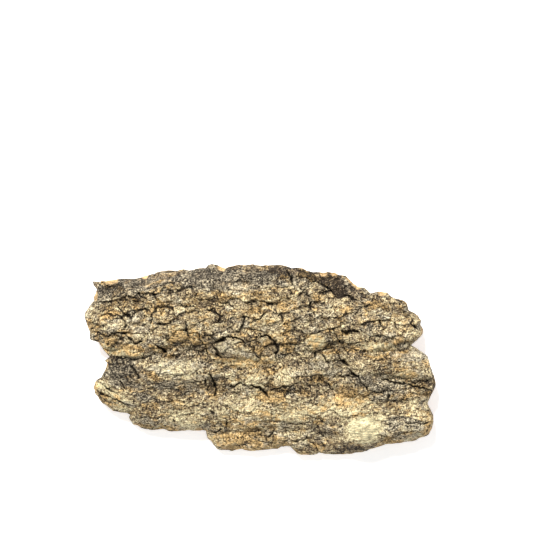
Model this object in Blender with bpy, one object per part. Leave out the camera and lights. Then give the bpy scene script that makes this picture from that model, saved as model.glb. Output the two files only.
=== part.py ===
"""Cork bark slab: one flat piece of virgin cork oak bark, lying on its smooth inner face.

The slab grew as one piece, so it is one solid. Its rough outer face carries long rolls that
run along the trunk, the scaly plates on them, and the fissures between. Its inner face is a
shallow arch, because it was peeled from a round trunk, and it stands on three low spots.

Plan points are (along, across) in grid steps from the slab's middle, as drawn over the outer
face: +x runs along the grain to the right, +y across it to the far edge, and one grid step is
STEP metres. Heights, depths and thicknesses are real sizes in metres.
"""

import math

import bmesh
import bpy
import numpy as np

MM = 0.001

# Driving dimensions
LENGTH = 305 * MM
DRAWN_LENGTH = 348.0
DRAWN_WIDTH = 184.0
STEP = LENGTH / DRAWN_LENGTH

# The inner face and the thicknesses of the bark; half widths and reaches are in grid steps
ARCH_RISE = 14 * MM
ARCH_HALF_WIDTH = 84.0
ARCH_LEAN = -0.1
GROOVE_THICKNESS = 9.5 * MM
EDGE_THICKNESS = 6.5 * MM
LEAST_THICKNESS = 3.5 * MM
EDGE_ROUNDING = 15.0
RELIEF_FADES_WITHIN = 4.0
SKIRT_CLEARANCE = 1.6 * MM
FOOT_REACH = 36.0
FOOT_NARROWER_ACROSS = 1.4
FLAT_CUT = 0.5 * MM

# How far the outer bark and the inner face stand back from the broken edge, in grid steps
OUTER_BARK_INSET = (2.2, 1.6)
INNER_FACE_INSET = (2.4, 1.2)

# The mesh before and after the triangles that flat places don't need are taken out
CELLS_ALONG = 196
CELLS_ACROSS = 108
RIM_ROWS = 3
WANTED_TRIANGLES = 10500

# The broken outline of the slab, clockwise from the horn at its far left corner
OUTLINE = [
    (-167, 79), (-160, 79.5), (-156, 77.5), (-153, 79), (-140, 81), (-122, 81.5), (-112, 84),
    (-105, 86.5), (-98, 88.5), (-70, 90), (-54, 92.5), (-51, 95), (-47, 96), (-43, 95),
    (-38, 93), (-34, 91.5), (-28, 93), (-20, 95.5), (2, 94.5), (23, 95), (32, 91.5), (41, 93),
    (52, 88.5), (64, 86.5), (68, 88), (76, 87), (80, 84.5), (86, 84), (91, 80.5), (99, 73),
    (104, 72), (111, 66.5), (119, 68.5), (128, 68), (131, 64.5), (136, 62), (142, 60.5),
    (147, 57), (149, 50), (158, 44.5), (161, 40), (160, 35), (163, 31), (163, 27), (159, 22.5),
    (151, 15.5), (157, 12.5), (162, 9), (167, 4), (169.5, -2), (174, -19), (174, -29),
    (171, -34), (167, -42), (172, -52), (174, -61), (172, -68), (169, -73), (164, -76),
    (151, -81), (133, -83.5), (126, -84), (114, -89), (97, -92.5), (60, -93), (43, -95),
    (38, -93.5), (31, -86.5), (22, -86.5), (18, -89), (8, -88.5), (-8, -91.5), (-16, -89),
    (-38, -89.5), (-42, -88), (-46, -83.5), (-51, -78), (-54, -71), (-70, -70), (-89, -70.5),
    (-96, -69), (-110, -70), (-116, -68.5), (-122, -65.5), (-126, -64.5), (-130, -57),
    (-129, -54.5), (-134, -52.5), (-146, -50.5), (-156, -42.5), (-163.5, -33), (-165.5, -27),
    (-164, -22), (-161, -18.5), (-156, -16), (-152, -7), (-152, -2), (-154, 0), (-149, 4),
    (-154, 9.5), (-160, 19), (-167, 20), (-168.5, 29), (-172.5, 38), (-174, 44), (-172.5, 49),
    (-165, 60), (-162, 71), (-165, 75),
]

# How fast the two kinds of raised back fall to their sides
BACK_STEEPNESS = 1.2
ROLL_STEEPNESS = 0.6

# Broad backs that the rolls stand on: the spine's x and y, its half width, its height in mm
BACKS = {
    "far_back": [(-150, 45, 50, 5), (0, 48, 70, 8), (130, 42, 50, 6)],
    "near_back": [(-150, -28, 40, 4), (-60, -34, 60, 6), (60, -38, 66, 7), (165, -42, 56, 5)],
}

# Rolls of the outer face, in the same terms
ROLLS = {
    "far_shoulder": [(-150, 62, 20, 6), (-110, 68, 22, 9), (-60, 72, 24, 11), (0, 74, 25, 12),
                     (50, 68, 24, 11), (90, 58, 21, 8), (125, 50, 18, 7)],
    "great_roll": [(-160, 38, 24, 9), (-120, 34, 31, 13), (-80, 34, 26, 15), (-40, 34, 26, 15),
                   (10, 38, 28, 14), (60, 38, 28, 15), (110, 34, 27, 14), (150, 32, 18, 10)],
    "apron": [(-44, 12, 15, 11), (-15, 10, 17, 12), (14, 12, 17, 11)],
    "middle_left": [(-150, -12, 16, 6), (-120, -12, 19, 8), (-85, -9, 22, 11),
                    (-58, -11, 22, 11)],
    "left_dome": [(-30, -20, 20, 9), (-5, -17, 21, 11)],
    "right_dome": [(26, -18, 17, 10), (48, -8, 17, 9)],
    "middle_right": [(62, -4, 16, 10), (110, -4, 18, 12), (150, -6, 17, 11), (166, -10, 13, 8)],
    "middle_low": [(60, -24, 12, 8), (88, -22, 17, 10), (135, -29, 12, 9), (165, -29, 11, 7)],
    "near_left": [(-158, -30, 13, 6), (-135, -38, 17, 8), (-105, -50, 21, 10),
                  (-70, -53, 21, 11), (-40, -50, 22, 11)],
    "near_right": [(-40, -50, 22, 11), (0, -49, 21, 11), (40, -50, 22, 11), (80, -54, 25, 13),
                   (105, -60, 27, 15), (130, -62, 24, 13), (160, -60, 17, 9)],
    "fringe_left": [(-44, -76, 14, 6), (-15, -78, 15, 7), (15, -78, 13, 6)],
    "fringe_right": [(36, -84, 13, 6), (65, -83, 15, 7), (100, -84, 13, 6)],
}

# Swellings and hollows: x, y, half length, half width, turn in degrees, height in mm
SWELLINGS = [
    (-102, 70, 18, 9, 0, 2.0), (-145, 35, 14, 12, 0, 2.5), (-75, 27, 14, 9, 0, 2.0),
    (-25, 13, 20, 9, 0, 3.0), (70, 57, 20, 9, 0, 2.0), (120, 35, 26, 16, 0, 2.5),
    (120, 15, 20, 6, 0, 1.5), (58, 20, 10, 7, 0, 1.5), (-47, 91, 7, 5, 0, 2.5),
    (155, 38, 8, 9, 0, 2.0), (105, -68, 24, 16, 0, 2.0), (-160, 42, 10, 10, 0, 1.5),
    (88, -25, 14, 10, 0, 2.5), (80, 77, 28, 8, -20, -3.0), (-38, 45, 12, 7, 0, -2.0),
    (90, 30, 9, 4, 0, -3.0), (-45, -25, 6, 10, 0, -3.0), (-125, -50, 6, 5, 0, -2.0),
    (65, -77, 12, 8, 0, -2.5), (-135, -15, 16, 12, 0, -1.5), (-148, 73, 8, 4, 0, -2.0),
    (40, -2, 8, 10, 0, -2.0),
]

# Fissures wide enough to be cut in the solid: half width in grid steps, depth in mm, route
FISSURES = [
    (1.8, 3.5, [(-120, 68), (-117, 63), (-111, 61)]),
    (1.8, 4.0, [(-139, 54), (-132, 48), (-124, 43)]),
    (1.6, 3.0, [(-127, 56), (-110, 55), (-95, 59), (-77, 57), (-64, 54), (-59, 50), (-53, 48)]),
    (2.2, 3.5, [(-48, 51), (-43, 49), (-40, 39)]),
    (1.6, 3.5, [(-167, 20), (-156, 27), (-146, 24), (-129, 28)]),
    (1.8, 3.5, [(-65, 42), (-68, 30), (-71, 23)]),
    (2.4, 4.0, [(-100, 15), (-96, 11), (-92, 9)]),
    (1.8, 4.0, [(-58, 25), (-56, 19), (-53, 11), (-50, 3)]),
    (2.2, 4.5, [(-47, 18), (-44, 14), (-41, 9)]),
    (2.0, 3.5, [(-42, 20), (-35, 20), (-24, 24)]),
    (1.6, 3.0, [(-17, 46), (-16, 39), (-20, 32)]),
    (1.6, 2.5, [(-17, 34), (0, 40), (13, 49), (20, 48)]),
    (2.0, 4.5, [(28, 92), (31, 86), (33, 81), (33, 75)]),
    (1.6, 3.0, [(45, 83), (60, 74), (72, 67), (76, 62)]),
    (1.8, 3.0, [(118, 67), (131, 65), (141, 58)]),
    (1.8, 3.5, [(143, 47), (152, 35), (155, 30)]),
    (2.6, 4.0, [(82, 30), (90, 28), (98, 29)]),
    (2.2, 5.0, [(2, 24), (10, 27), (15, 22), (16, 8), (17, 2)]),
    (1.8, 3.5, [(78, 9), (82, 2), (91, -6), (93, -14), (104, -32)]),
    (1.6, 3.0, [(60, 8), (70, -2)]),
    (1.6, 2.5, [(25, 10), (37, 0), (43, -6)]),
    (2.0, 3.5, [(-124, -6), (-118, -16), (-117, -20)]),
    (2.8, 6.0, [(-50, -10), (-46, -19), (-45, -25), (-46, -34)]),
    (2.0, 4.0, [(-35, -27), (-20, -23), (-3, -23), (4, -28), (10, -35)]),
    (1.6, 3.0, [(-163, -23), (-148, -34), (-130, -40)]),
    (1.8, 3.5, [(62, -17), (72, -25), (74, -29)]),
    (1.6, 3.0, [(30, -25), (42, -23)]),
    (2.0, 4.0, [(128, -18), (148, -21), (164, -27)]),
    (1.6, 2.5, [(112, -24), (127, -30), (126, -38)]),
    (1.6, 3.0, [(50, -77), (53, -83), (60, -91)]),
    (1.6, 2.5, [(23, -78), (36, -79), (48, -77)]),
    (1.6, 2.5, [(32, -59), (50, -57), (66, -61), (72, -64)]),
]

# Scaly plates' length and width in steps, how unlike their levels are, and their gaps' depth:
# the far half carries small thick plates, the near half long thin ones
FAR_PLATES = (16.0, 10.0, 1.5 * MM, 1.6 * MM)
NEAR_PLATES = (27.0, 10.0, 0.8 * MM, 0.9 * MM)
PLATES_CHANGE_BETWEEN = (0, 9)
PLATE_GAP_SHARE = 0.12

# The three broad low spots that it stands on, in plan
FEET = [(-108, -60), (110, -80), (-10, 86)]


def lattice_values(ix, iy, seed):
    """One repeatable value from 0 to 1 for each corner of a square lattice."""
    mixed = (ix * 374761393 + iy * 668265263 + seed * 974634777) & 0xFFFFFFFF
    mixed = ((mixed ^ (mixed >> 13)) * 1274126177) & 0xFFFFFFFF
    return ((mixed ^ (mixed >> 16)) & 0xFFFF) / 65535.0


def noise(x, y, seed):
    """Smooth noise from -1 to 1, with one hill or hollow to about each unit square."""
    ix, iy = np.floor(x).astype(np.int64), np.floor(y).astype(np.int64)
    fx, fy = x - ix, y - iy
    fx, fy = fx * fx * (3 - 2 * fx), fy * fy * (3 - 2 * fy)
    near = lattice_values(ix, iy, seed) * (1 - fx) + lattice_values(ix + 1, iy, seed) * fx
    far = lattice_values(ix, iy + 1, seed) * (1 - fx) + lattice_values(ix + 1, iy + 1, seed) * fx
    return 2 * (near * (1 - fy) + far * fy) - 1


def rough_noise(x, y, seed, octaves=3):
    """Noise with finer noise laid on it, each layer half as strong and twice as fine."""
    total, share, scale = np.zeros_like(x), 1.0, 1.0
    for octave in range(octaves):
        total += share * noise(x * scale + 17.3 * octave, y * scale - 9.1 * octave, seed + octave)
        share, scale = share / 2, scale * 2
    return total / (2 - 2 * share)


def cells(x, y, seed):
    """Scale-like cells of about one unit: how far the nearest border is, and each cell's values.

    It returns the border distance, a value from 0 to 1 for the cell, and the way from the
    cell's middle as two arrays.
    """
    ix, iy = np.floor(x).astype(np.int64), np.floor(y).astype(np.int64)
    first, second = np.full(x.shape, 9.0), np.full(x.shape, 9.0)
    value, away_x, away_y = np.zeros_like(x), np.zeros_like(x), np.zeros_like(x)
    for row in (-1, 0, 1):
        for column in (-1, 0, 1):
            cx, cy = ix + column, iy + row
            dx = x - (cx + lattice_values(cx, cy, seed))
            dy = y - (cy + lattice_values(cx, cy, seed + 7))
            distance = np.hypot(dx, dy)
            nearer = distance < first
            second = np.where(nearer, first, np.minimum(second, distance))
            value = np.where(nearer, lattice_values(cx, cy, seed + 13), value)
            away_x, away_y = np.where(nearer, dx, away_x), np.where(nearer, dy, away_y)
            first = np.where(nearer, distance, first)
    return second - first, value, away_x, away_y


def smooth_step(value, low, high):
    """0 below low, 1 above high, and a smooth rise between."""
    share = np.clip((value - low) / (high - low), 0, 1)
    return share * share * (3 - 2 * share)


def nearest_on_route(x, y, route):
    """How far each point is from a route, and the route's further values at the nearest place."""
    best = np.full(x.shape, np.inf)
    extra = np.zeros((len(route[0]) - 2,) + x.shape)
    for start, end in zip(route, route[1:]):
        ax, ay, bx, by = start[0], start[1], end[0], end[1]
        run = (bx - ax) ** 2 + (by - ay) ** 2
        share = np.clip(((x - ax) * (bx - ax) + (y - ay) * (by - ay)) / run, 0, 1)
        distance = np.hypot(x - ax - share * (bx - ax), y - ay - share * (by - ay))
        nearer = distance < best
        best = np.where(nearer, distance, best)
        for index in range(len(extra)):
            between = start[index + 2] + share * (end[index + 2] - start[index + 2])
            extra[index] = np.where(nearer, between, extra[index])
    return best, extra


def outline_reach(angle):
    """How far the broken edge lies from the slab's middle, in each direction."""
    points = np.array(OUTLINE, float)
    angles = np.arctan2(points[:, 1], points[:, 0])
    order = np.argsort(angles)
    return np.interp(angle, angles[order], np.hypot(*points.T)[order], period=2 * math.pi)


def inner_arch(x, y):
    """Height of the inner face before its low spots: the trunk's arch, with a gentle swell."""
    across = (y - ARCH_LEAN * x) / ARCH_HALF_WIDTH
    arch = ARCH_RISE * (1 - across**2)
    swell = 0.9 * MM * rough_noise(x / 45, y / 30, 301) + 0.3 * MM * noise(x / 9, y / 5, 305)
    return np.maximum(np.logaddexp(arch / MM, SKIRT_CLEARANCE / MM) * MM + swell, 1 * MM)


def low_spots(x, y):
    """0 on the three spots that the slab stands on, and 1 away from them."""
    share = np.ones_like(x)
    for foot_x, foot_y in FEET:
        apart = np.hypot(x - foot_x, FOOT_NARROWER_ACROSS * (y - foot_y)) / FOOT_REACH
        share *= smooth_step(apart, 0.2, 1)
    return share


def roll_height(x, y):
    """The long rolls: each rises like a bolster, and the higher one hides the lower one."""
    bent_x = x + 8 * rough_noise(x / 30, y / 22, 21)
    bent_y = y + 5 * rough_noise(x / 24, y / 20, 27)
    highest = np.zeros_like(x)
    raised = [(spine, BACK_STEEPNESS) for spine in BACKS.values()]
    raised += [(spine, ROLL_STEEPNESS) for spine in ROLLS.values()]
    for spine, steepness in raised:
        distance, (half_width, height) = nearest_on_route(bent_x, bent_y, spine)
        round_back = np.clip(1 - (distance / half_width) ** 2, 0, 1) ** steepness
        highest = np.maximum(highest, height * MM * round_back)
    return highest


def swelling_height(x, y):
    """Single lumps and hollows."""
    total = np.zeros_like(x)
    for mid_x, mid_y, half_length, half_width, turn, height in SWELLINGS:
        c, s = math.cos(math.radians(turn)), math.sin(math.radians(turn))
        along = ((x - mid_x) * c + (y - mid_y) * s) / half_length
        aside = ((y - mid_y) * c - (x - mid_x) * s) / half_width
        total += height * MM * np.exp(-1.2 * (along**2 + aside**2))
    return total


def plate_height(x, y):
    """Scaly plates: each stands at its own level, tips a little, and has a gap round it."""
    bent_x = x + 5.0 * rough_noise(x / 14, y / 14, 41)
    bent_y = y + 3.5 * rough_noise(x / 12, y / 12, 47)
    far_share = smooth_step(y + 6 * noise(x / 30, y / 30, 53), *PLATES_CHANGE_BETWEEN)
    total = np.zeros_like(x)
    for plates, share in [(FAR_PLATES, far_share), (NEAR_PLATES, 1 - far_share)]:
        length, width, step, gap = plates
        border, level, away_x, away_y = cells(bent_x / length, bent_y / width, 59)
        tipped = (level - 0.5) * 2 + 1.6 * away_x * ((level * 7) % 1 - 0.5) - 0.7 * away_y
        total += share * (step * tipped - gap * np.exp(-((border / PLATE_GAP_SHARE) ** 2)))
    return total


def fissure_depth(x, y):
    """The named fissures, with torn sides and ends that run out."""
    torn_x = x + 1.4 * rough_noise(x / 5, y / 5, 71)
    torn_y = y + 1.4 * rough_noise(x / 5, y / 5, 77)
    deepest = np.zeros_like(x)
    for half_width, depth, route in FISSURES:
        distance, _ = nearest_on_route(torn_x, torn_y, route)
        deepest = np.maximum(deepest, depth * MM * np.clip(1 - distance / (2 * half_width), 0, 1))
    return deepest


def bark_thickness(x, y, from_edge):
    """From the inner face up to the outer face, thinner and rounded towards the broken edge."""
    lively = 0.8 * MM * rough_noise(x / 11, y / 8, 83)
    full = GROOVE_THICKNESS + roll_height(x, y) + swelling_height(x, y) + lively
    inward = np.clip(from_edge / EDGE_ROUNDING, 0, 1)
    rounded = np.sqrt(1 - (1 - inward) ** 2)
    kept_relief = np.clip(from_edge / RELIEF_FADES_WITHIN, 0.25, 1)
    relief = (plate_height(x, y) - fissure_depth(x, y)) * kept_relief
    return np.maximum(EDGE_THICKNESS + (full - EDGE_THICKNESS) * rounded + relief, LEAST_THICKNESS)


def blank_slab():
    """A flat block of cells, from minus 1 to 1 in plan and from 0 to 1 in height."""
    bm = bmesh.new()
    bmesh.ops.create_grid(bm, x_segments=CELLS_ALONG, y_segments=CELLS_ACROSS, size=1)
    lower = list(bm.faces)
    raised = bmesh.ops.extrude_face_region(bm, geom=lower, use_keep_orig=True)["geom"]
    for item in raised:
        if isinstance(item, bmesh.types.BMVert):
            item.co.z = 1
    walls = [e for e in bm.edges if abs(e.verts[0].co.z - e.verts[1].co.z) > 0.5]
    bmesh.ops.subdivide_edges(bm, edges=walls, cuts=RIM_ROWS, use_grid_fill=True)
    bmesh.ops.recalc_face_normals(bm, faces=bm.faces)
    return bm


def rim_inset(angle, level):
    """How far the broken edge stands back from the outline at each level of its height."""
    outer_bark = OUTER_BARK_INSET[0] + OUTER_BARK_INSET[1] * noise(angle * 7, level * 0, 103)
    inner_face = INNER_FACE_INSET[0] + INNER_FACE_INSET[1] * noise(angle * 9, level * 2, 101)
    return outer_bark * smooth_step(level, 0.45, 1) + inner_face * smooth_step(-level, -0.5, 0)


def shape_slab(bm):
    """Moves the block's points on to the slab's surface."""
    points = np.array([v.co for v in bm.verts])
    u, v, level = points.T
    ring = np.maximum(abs(u), abs(v))
    x, y = u * DRAWN_LENGTH / 2, v * DRAWN_WIDTH / 2
    angle = np.arctan2(y, x)
    block_reach = np.maximum(np.hypot(x, y), 1e-6) / np.maximum(ring, 1e-6)
    reach = outline_reach(angle) - rim_inset(angle, level)
    stretch = 1 + (reach / block_reach - 1) * ring**2
    x, y = x * stretch, y * stretch
    from_edge, _ = nearest_on_route(x, y, OUTLINE + OUTLINE[:1])
    arch = inner_arch(x, y)
    lower = arch * low_spots(x, y)
    upper = arch + bark_thickness(x, y, from_edge)
    height = lower + level * (upper - lower)
    for vertex, place in zip(bm.verts, zip(x * STEP, y * STEP, height)):
        vertex.co = place


def cork_material():
    """Weathered outer cork: a dull brownish grey with no shine."""
    material = bpy.data.materials.new("weathered_cork_bark")
    material.use_nodes = True
    surface = material.node_tree.nodes["Principled BSDF"]
    surface.inputs["Base Color"].default_value = (0.29, 0.22, 0.145, 1)
    surface.inputs["Roughness"].default_value = 0.92
    surface.inputs["Metallic"].default_value = 0
    return material


def thinned_mesh(bm):
    """The shaped points as a mesh, with fewer triangles where the surface is nearly flat."""
    bmesh.ops.triangulate(bm, faces=bm.faces)
    fine = bpy.data.meshes.new("fine_slab")
    bm.to_mesh(fine)
    holder = bpy.data.objects.new("fine_slab", fine)
    bpy.context.scene.collection.objects.link(holder)
    thinner = holder.modifiers.new("fewer_triangles", "DECIMATE")
    thinner.ratio = WANTED_TRIANGLES / len(bm.faces)
    seen = holder.evaluated_get(bpy.context.evaluated_depsgraph_get())
    mesh = bpy.data.meshes.new_from_object(seen)
    bpy.data.objects.remove(holder)
    bpy.data.meshes.remove(fine)
    mesh.name = "cork_bark_slab"
    return mesh


def cut_low_spots_flat(bm):
    """Wears the three low spots flat, at one level."""
    everything = [*bm.verts, *bm.edges, *bm.faces]
    cut = bmesh.ops.bisect_plane(bm, geom=everything, dist=0.001 * MM, plane_co=(0, 0, FLAT_CUT),
                                 plane_no=(0, 0, -1), clear_outer=True)["geom_cut"]
    rims = [item for item in cut if isinstance(item, bmesh.types.BMEdge)]
    bmesh.ops.holes_fill(bm, edges=rims)
    bmesh.ops.triangulate(bm, faces=bm.faces)


def settle(bm):
    """Puts the middle of the slab's box over the origin, with its flat spots at height zero."""
    points = np.array([v.co for v in bm.verts])
    low, high = points.min(axis=0), points.max(axis=0)
    middle = (low + high) / 2
    bmesh.ops.translate(bm, verts=bm.verts, vec=(-middle[0], -middle[1], -low[2]))


def build_slab(collection):
    """The slab as one object."""
    bm = blank_slab()
    shape_slab(bm)
    mesh = thinned_mesh(bm)
    bm.clear()
    bm.from_mesh(mesh)
    cut_low_spots_flat(bm)
    settle(bm)
    bm.to_mesh(mesh)
    bm.free()
    mesh.shade_smooth()
    mesh.materials.append(cork_material())
    collection.objects.link(bpy.data.objects.new("cork_bark_slab", mesh))


def main():
    for old in list(bpy.data.objects):
        bpy.data.objects.remove(old)
    collection = bpy.data.collections.new("cork_bark_slab")
    bpy.context.scene.collection.children.link(collection)
    build_slab(collection)


main()
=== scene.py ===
"""The looks of a slab of virgin cork oak bark, seen from straight above its rough outer face.

The slab is one piece. Its outer face is first drawn as maps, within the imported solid's own
outline: rolls along the trunk, scaly plates, flakes, growth lines, fissures and the rim's torn
ledges. A closed block of cells then takes its shape from them, and its material reads them.

Plan points are (along, across) in grid steps from the slab's middle: +x runs along the grain to
the right and +y across it to the far edge. Heights and depths are in millimetres where a name
or a comment says so, and in metres otherwise. Where noise is read at x / 14, its hills and hollows
are about 14 steps wide, and the number that follows its place is its seed.
"""

import math

import bpy
import numpy as np
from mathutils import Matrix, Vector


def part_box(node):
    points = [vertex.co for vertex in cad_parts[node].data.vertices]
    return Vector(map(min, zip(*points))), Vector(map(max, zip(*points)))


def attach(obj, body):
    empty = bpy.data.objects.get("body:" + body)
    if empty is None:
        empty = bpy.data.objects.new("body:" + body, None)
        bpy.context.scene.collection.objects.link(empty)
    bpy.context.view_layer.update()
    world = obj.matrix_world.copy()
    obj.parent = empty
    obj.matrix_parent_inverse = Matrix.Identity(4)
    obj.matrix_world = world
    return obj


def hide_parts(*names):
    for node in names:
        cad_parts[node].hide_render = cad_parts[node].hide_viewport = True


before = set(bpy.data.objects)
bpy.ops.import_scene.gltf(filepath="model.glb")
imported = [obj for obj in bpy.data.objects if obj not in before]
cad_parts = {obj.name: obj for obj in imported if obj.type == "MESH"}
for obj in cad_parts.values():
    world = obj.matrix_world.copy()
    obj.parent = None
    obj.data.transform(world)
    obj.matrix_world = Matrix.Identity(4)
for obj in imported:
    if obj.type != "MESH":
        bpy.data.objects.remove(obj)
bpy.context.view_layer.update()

bl_info = {
    "name": "Cork Bark Slab",
    "version": (1, 0, 0),
    "blender": (4, 5, 0),
    "location": "View3D > Sidebar > Cork Bark",
    "description": "Makes a slab of virgin cork oak bark and the plain stage it lies on",
    "category": "Object",
}

MM = 0.001
NODE = "cork_bark_slab"
LOW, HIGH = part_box(NODE)

# The slab's length in grid steps and in metres, and so the length of a step; the width in
# steps of the block that is stretched out to the slab
DRAWN_LENGTH = 348.0
SLAB_LENGTH = 305 * MM
STEP = SLAB_LENGTH / DRAWN_LENGTH
BLOCK_WIDTH = 184.0

# The broken outline of the slab, clockwise from the horn at its far left corner
OUTLINE = [
    (-167, 79), (-160, 79.5), (-156, 77.5), (-153, 79), (-140, 81), (-122, 81.5), (-112, 84),
    (-105, 86.5), (-98, 88.5), (-70, 90), (-54, 92.5), (-51, 95), (-47, 96), (-43, 95),
    (-38, 93), (-34, 91.5), (-28, 93), (-20, 95.5), (2, 94.5), (23, 95), (32, 91.5), (41, 93),
    (52, 88.5), (64, 86.5), (68, 88), (76, 87), (80, 84.5), (86, 84), (91, 80.5), (99, 73),
    (104, 72), (111, 66.5), (119, 68.5), (128, 68), (131, 64.5), (136, 62), (142, 60.5),
    (147, 57), (149, 50), (158, 44.5), (161, 40), (160, 35), (163, 31), (163, 27), (159, 22.5),
    (151, 15.5), (157, 12.5), (162, 9), (167, 4), (169.5, -2), (174, -19), (174, -29),
    (171, -34), (167, -42), (172, -52), (174, -61), (172, -68), (169, -73), (164, -76),
    (151, -81), (133, -83.5), (126, -84), (114, -89), (97, -92.5), (60, -93), (43, -95),
    (38, -93.5), (31, -86.5), (22, -86.5), (18, -89), (8, -88.5), (-8, -91.5), (-16, -89),
    (-38, -89.5), (-42, -88), (-46, -83.5), (-51, -78), (-54, -71), (-70, -70), (-89, -70.5),
    (-96, -69), (-110, -70), (-116, -68.5), (-122, -65.5), (-126, -64.5), (-130, -57),
    (-129, -54.5), (-134, -52.5), (-146, -50.5), (-156, -42.5), (-163.5, -33), (-165.5, -27),
    (-164, -22), (-161, -18.5), (-156, -16), (-152, -7), (-152, -2), (-154, 0), (-149, 4),
    (-154, 9.5), (-160, 19), (-167, 20), (-168.5, 29), (-172.5, 38), (-174, 44), (-172.5, 49),
    (-165, 60), (-162, 71), (-165, 75),
]

# How fast the two kinds of raised back fall to their sides
BACK_STEEPNESS = 1.2
ROLL_STEEPNESS = 0.6

# How softly the backs and rolls run into one another, in mm
VALLEY_ROUNDING = 0.9

# Broad backs that the rolls stand on: the spine's x and y, its half width, its height in mm
BACKS = {
    "far_back": [(-150, 45, 50, 5), (0, 48, 70, 8), (130, 42, 50, 6)],
    "near_back": [(-150, -28, 40, 4), (-60, -34, 60, 6), (60, -38, 66, 7), (165, -42, 56, 5)],
}

# Rolls of the outer face, in the same terms
ROLLS = {
    "far_shoulder": [(-150, 62, 20, 6), (-110, 68, 22, 9), (-60, 72, 24, 11), (0, 74, 25, 12),
                     (50, 68, 24, 11), (90, 58, 21, 8), (125, 50, 18, 7)],
    "upper_left": [(-156, 54, 18, 8), (-120, 56, 21, 12), (-85, 58, 18, 12)],
    "great_roll": [(-160, 38, 24, 9), (-120, 34, 31, 13), (-80, 34, 26, 15), (-40, 34, 26, 15),
                   (10, 38, 28, 14), (60, 38, 28, 15), (110, 34, 27, 14), (150, 32, 18, 10)],
    "apron": [(-44, 12, 15, 11), (-15, 10, 17, 12), (14, 12, 17, 11)],
    "middle_left": [(-150, -12, 16, 6), (-120, -12, 19, 8), (-85, -9, 22, 11),
                    (-58, -11, 22, 11)],
    "left_dome": [(-30, -20, 20, 9), (-5, -17, 21, 11)],
    "right_dome": [(26, -18, 17, 10), (48, -8, 17, 9)],
    "middle_right": [(62, -4, 16, 10), (110, -4, 18, 12), (150, -6, 17, 11), (166, -10, 13, 8)],
    "middle_low": [(60, -24, 12, 8), (88, -22, 17, 10), (135, -29, 12, 9), (165, -29, 11, 7)],
    "near_left": [(-158, -30, 13, 6), (-135, -38, 17, 8), (-105, -50, 21, 10),
                  (-70, -53, 21, 11), (-40, -50, 22, 11)],
    "near_right": [(-40, -50, 22, 11), (0, -49, 21, 11), (40, -50, 22, 11), (80, -54, 25, 13),
                   (105, -66, 30, 15), (130, -66, 26, 13), (160, -62, 18, 10)],
    "fringe_left": [(-44, -76, 14, 6), (-15, -78, 15, 7), (15, -78, 13, 6)],
    "fringe_right": [(36, -84, 13, 6), (65, -83, 15, 7), (100, -84, 13, 6)],
}

# Swellings and hollows: x, y, half length, half width, turn in degrees, height in mm
SWELLINGS = [
    (-102, 70, 18, 9, 0, 2.0), (-145, 35, 14, 12, 0, 2.5), (-75, 27, 14, 9, 0, 2.0),
    (-25, 13, 20, 9, 0, 3.0), (70, 57, 20, 9, 0, 2.0), (120, 35, 26, 16, 0, 2.5),
    (120, 15, 20, 6, 0, 1.5), (58, 20, 10, 7, 0, 1.5), (-47, 91, 7, 5, 0, 2.5),
    (155, 38, 8, 9, 0, 2.0), (105, -76, 26, 14, 0, 3.5), (-160, 42, 10, 10, 0, 1.5),
    (88, -25, 14, 10, 0, 2.5), (80, 77, 28, 8, -20, -3.0), (-38, 45, 12, 7, 0, -2.0),
    (90, 30, 9, 4, 0, -3.0), (-45, -25, 6, 10, 0, -3.0), (-125, -50, 6, 5, 0, -2.0),
    (65, -77, 12, 8, 0, -2.5), (-135, -15, 16, 12, 0, -1.5), (-148, 73, 8, 4, 0, -2.0),
    (40, -2, 8, 10, 0, -2.0), (104, -84, 24, 9, 4, 3.0),
]

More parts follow.
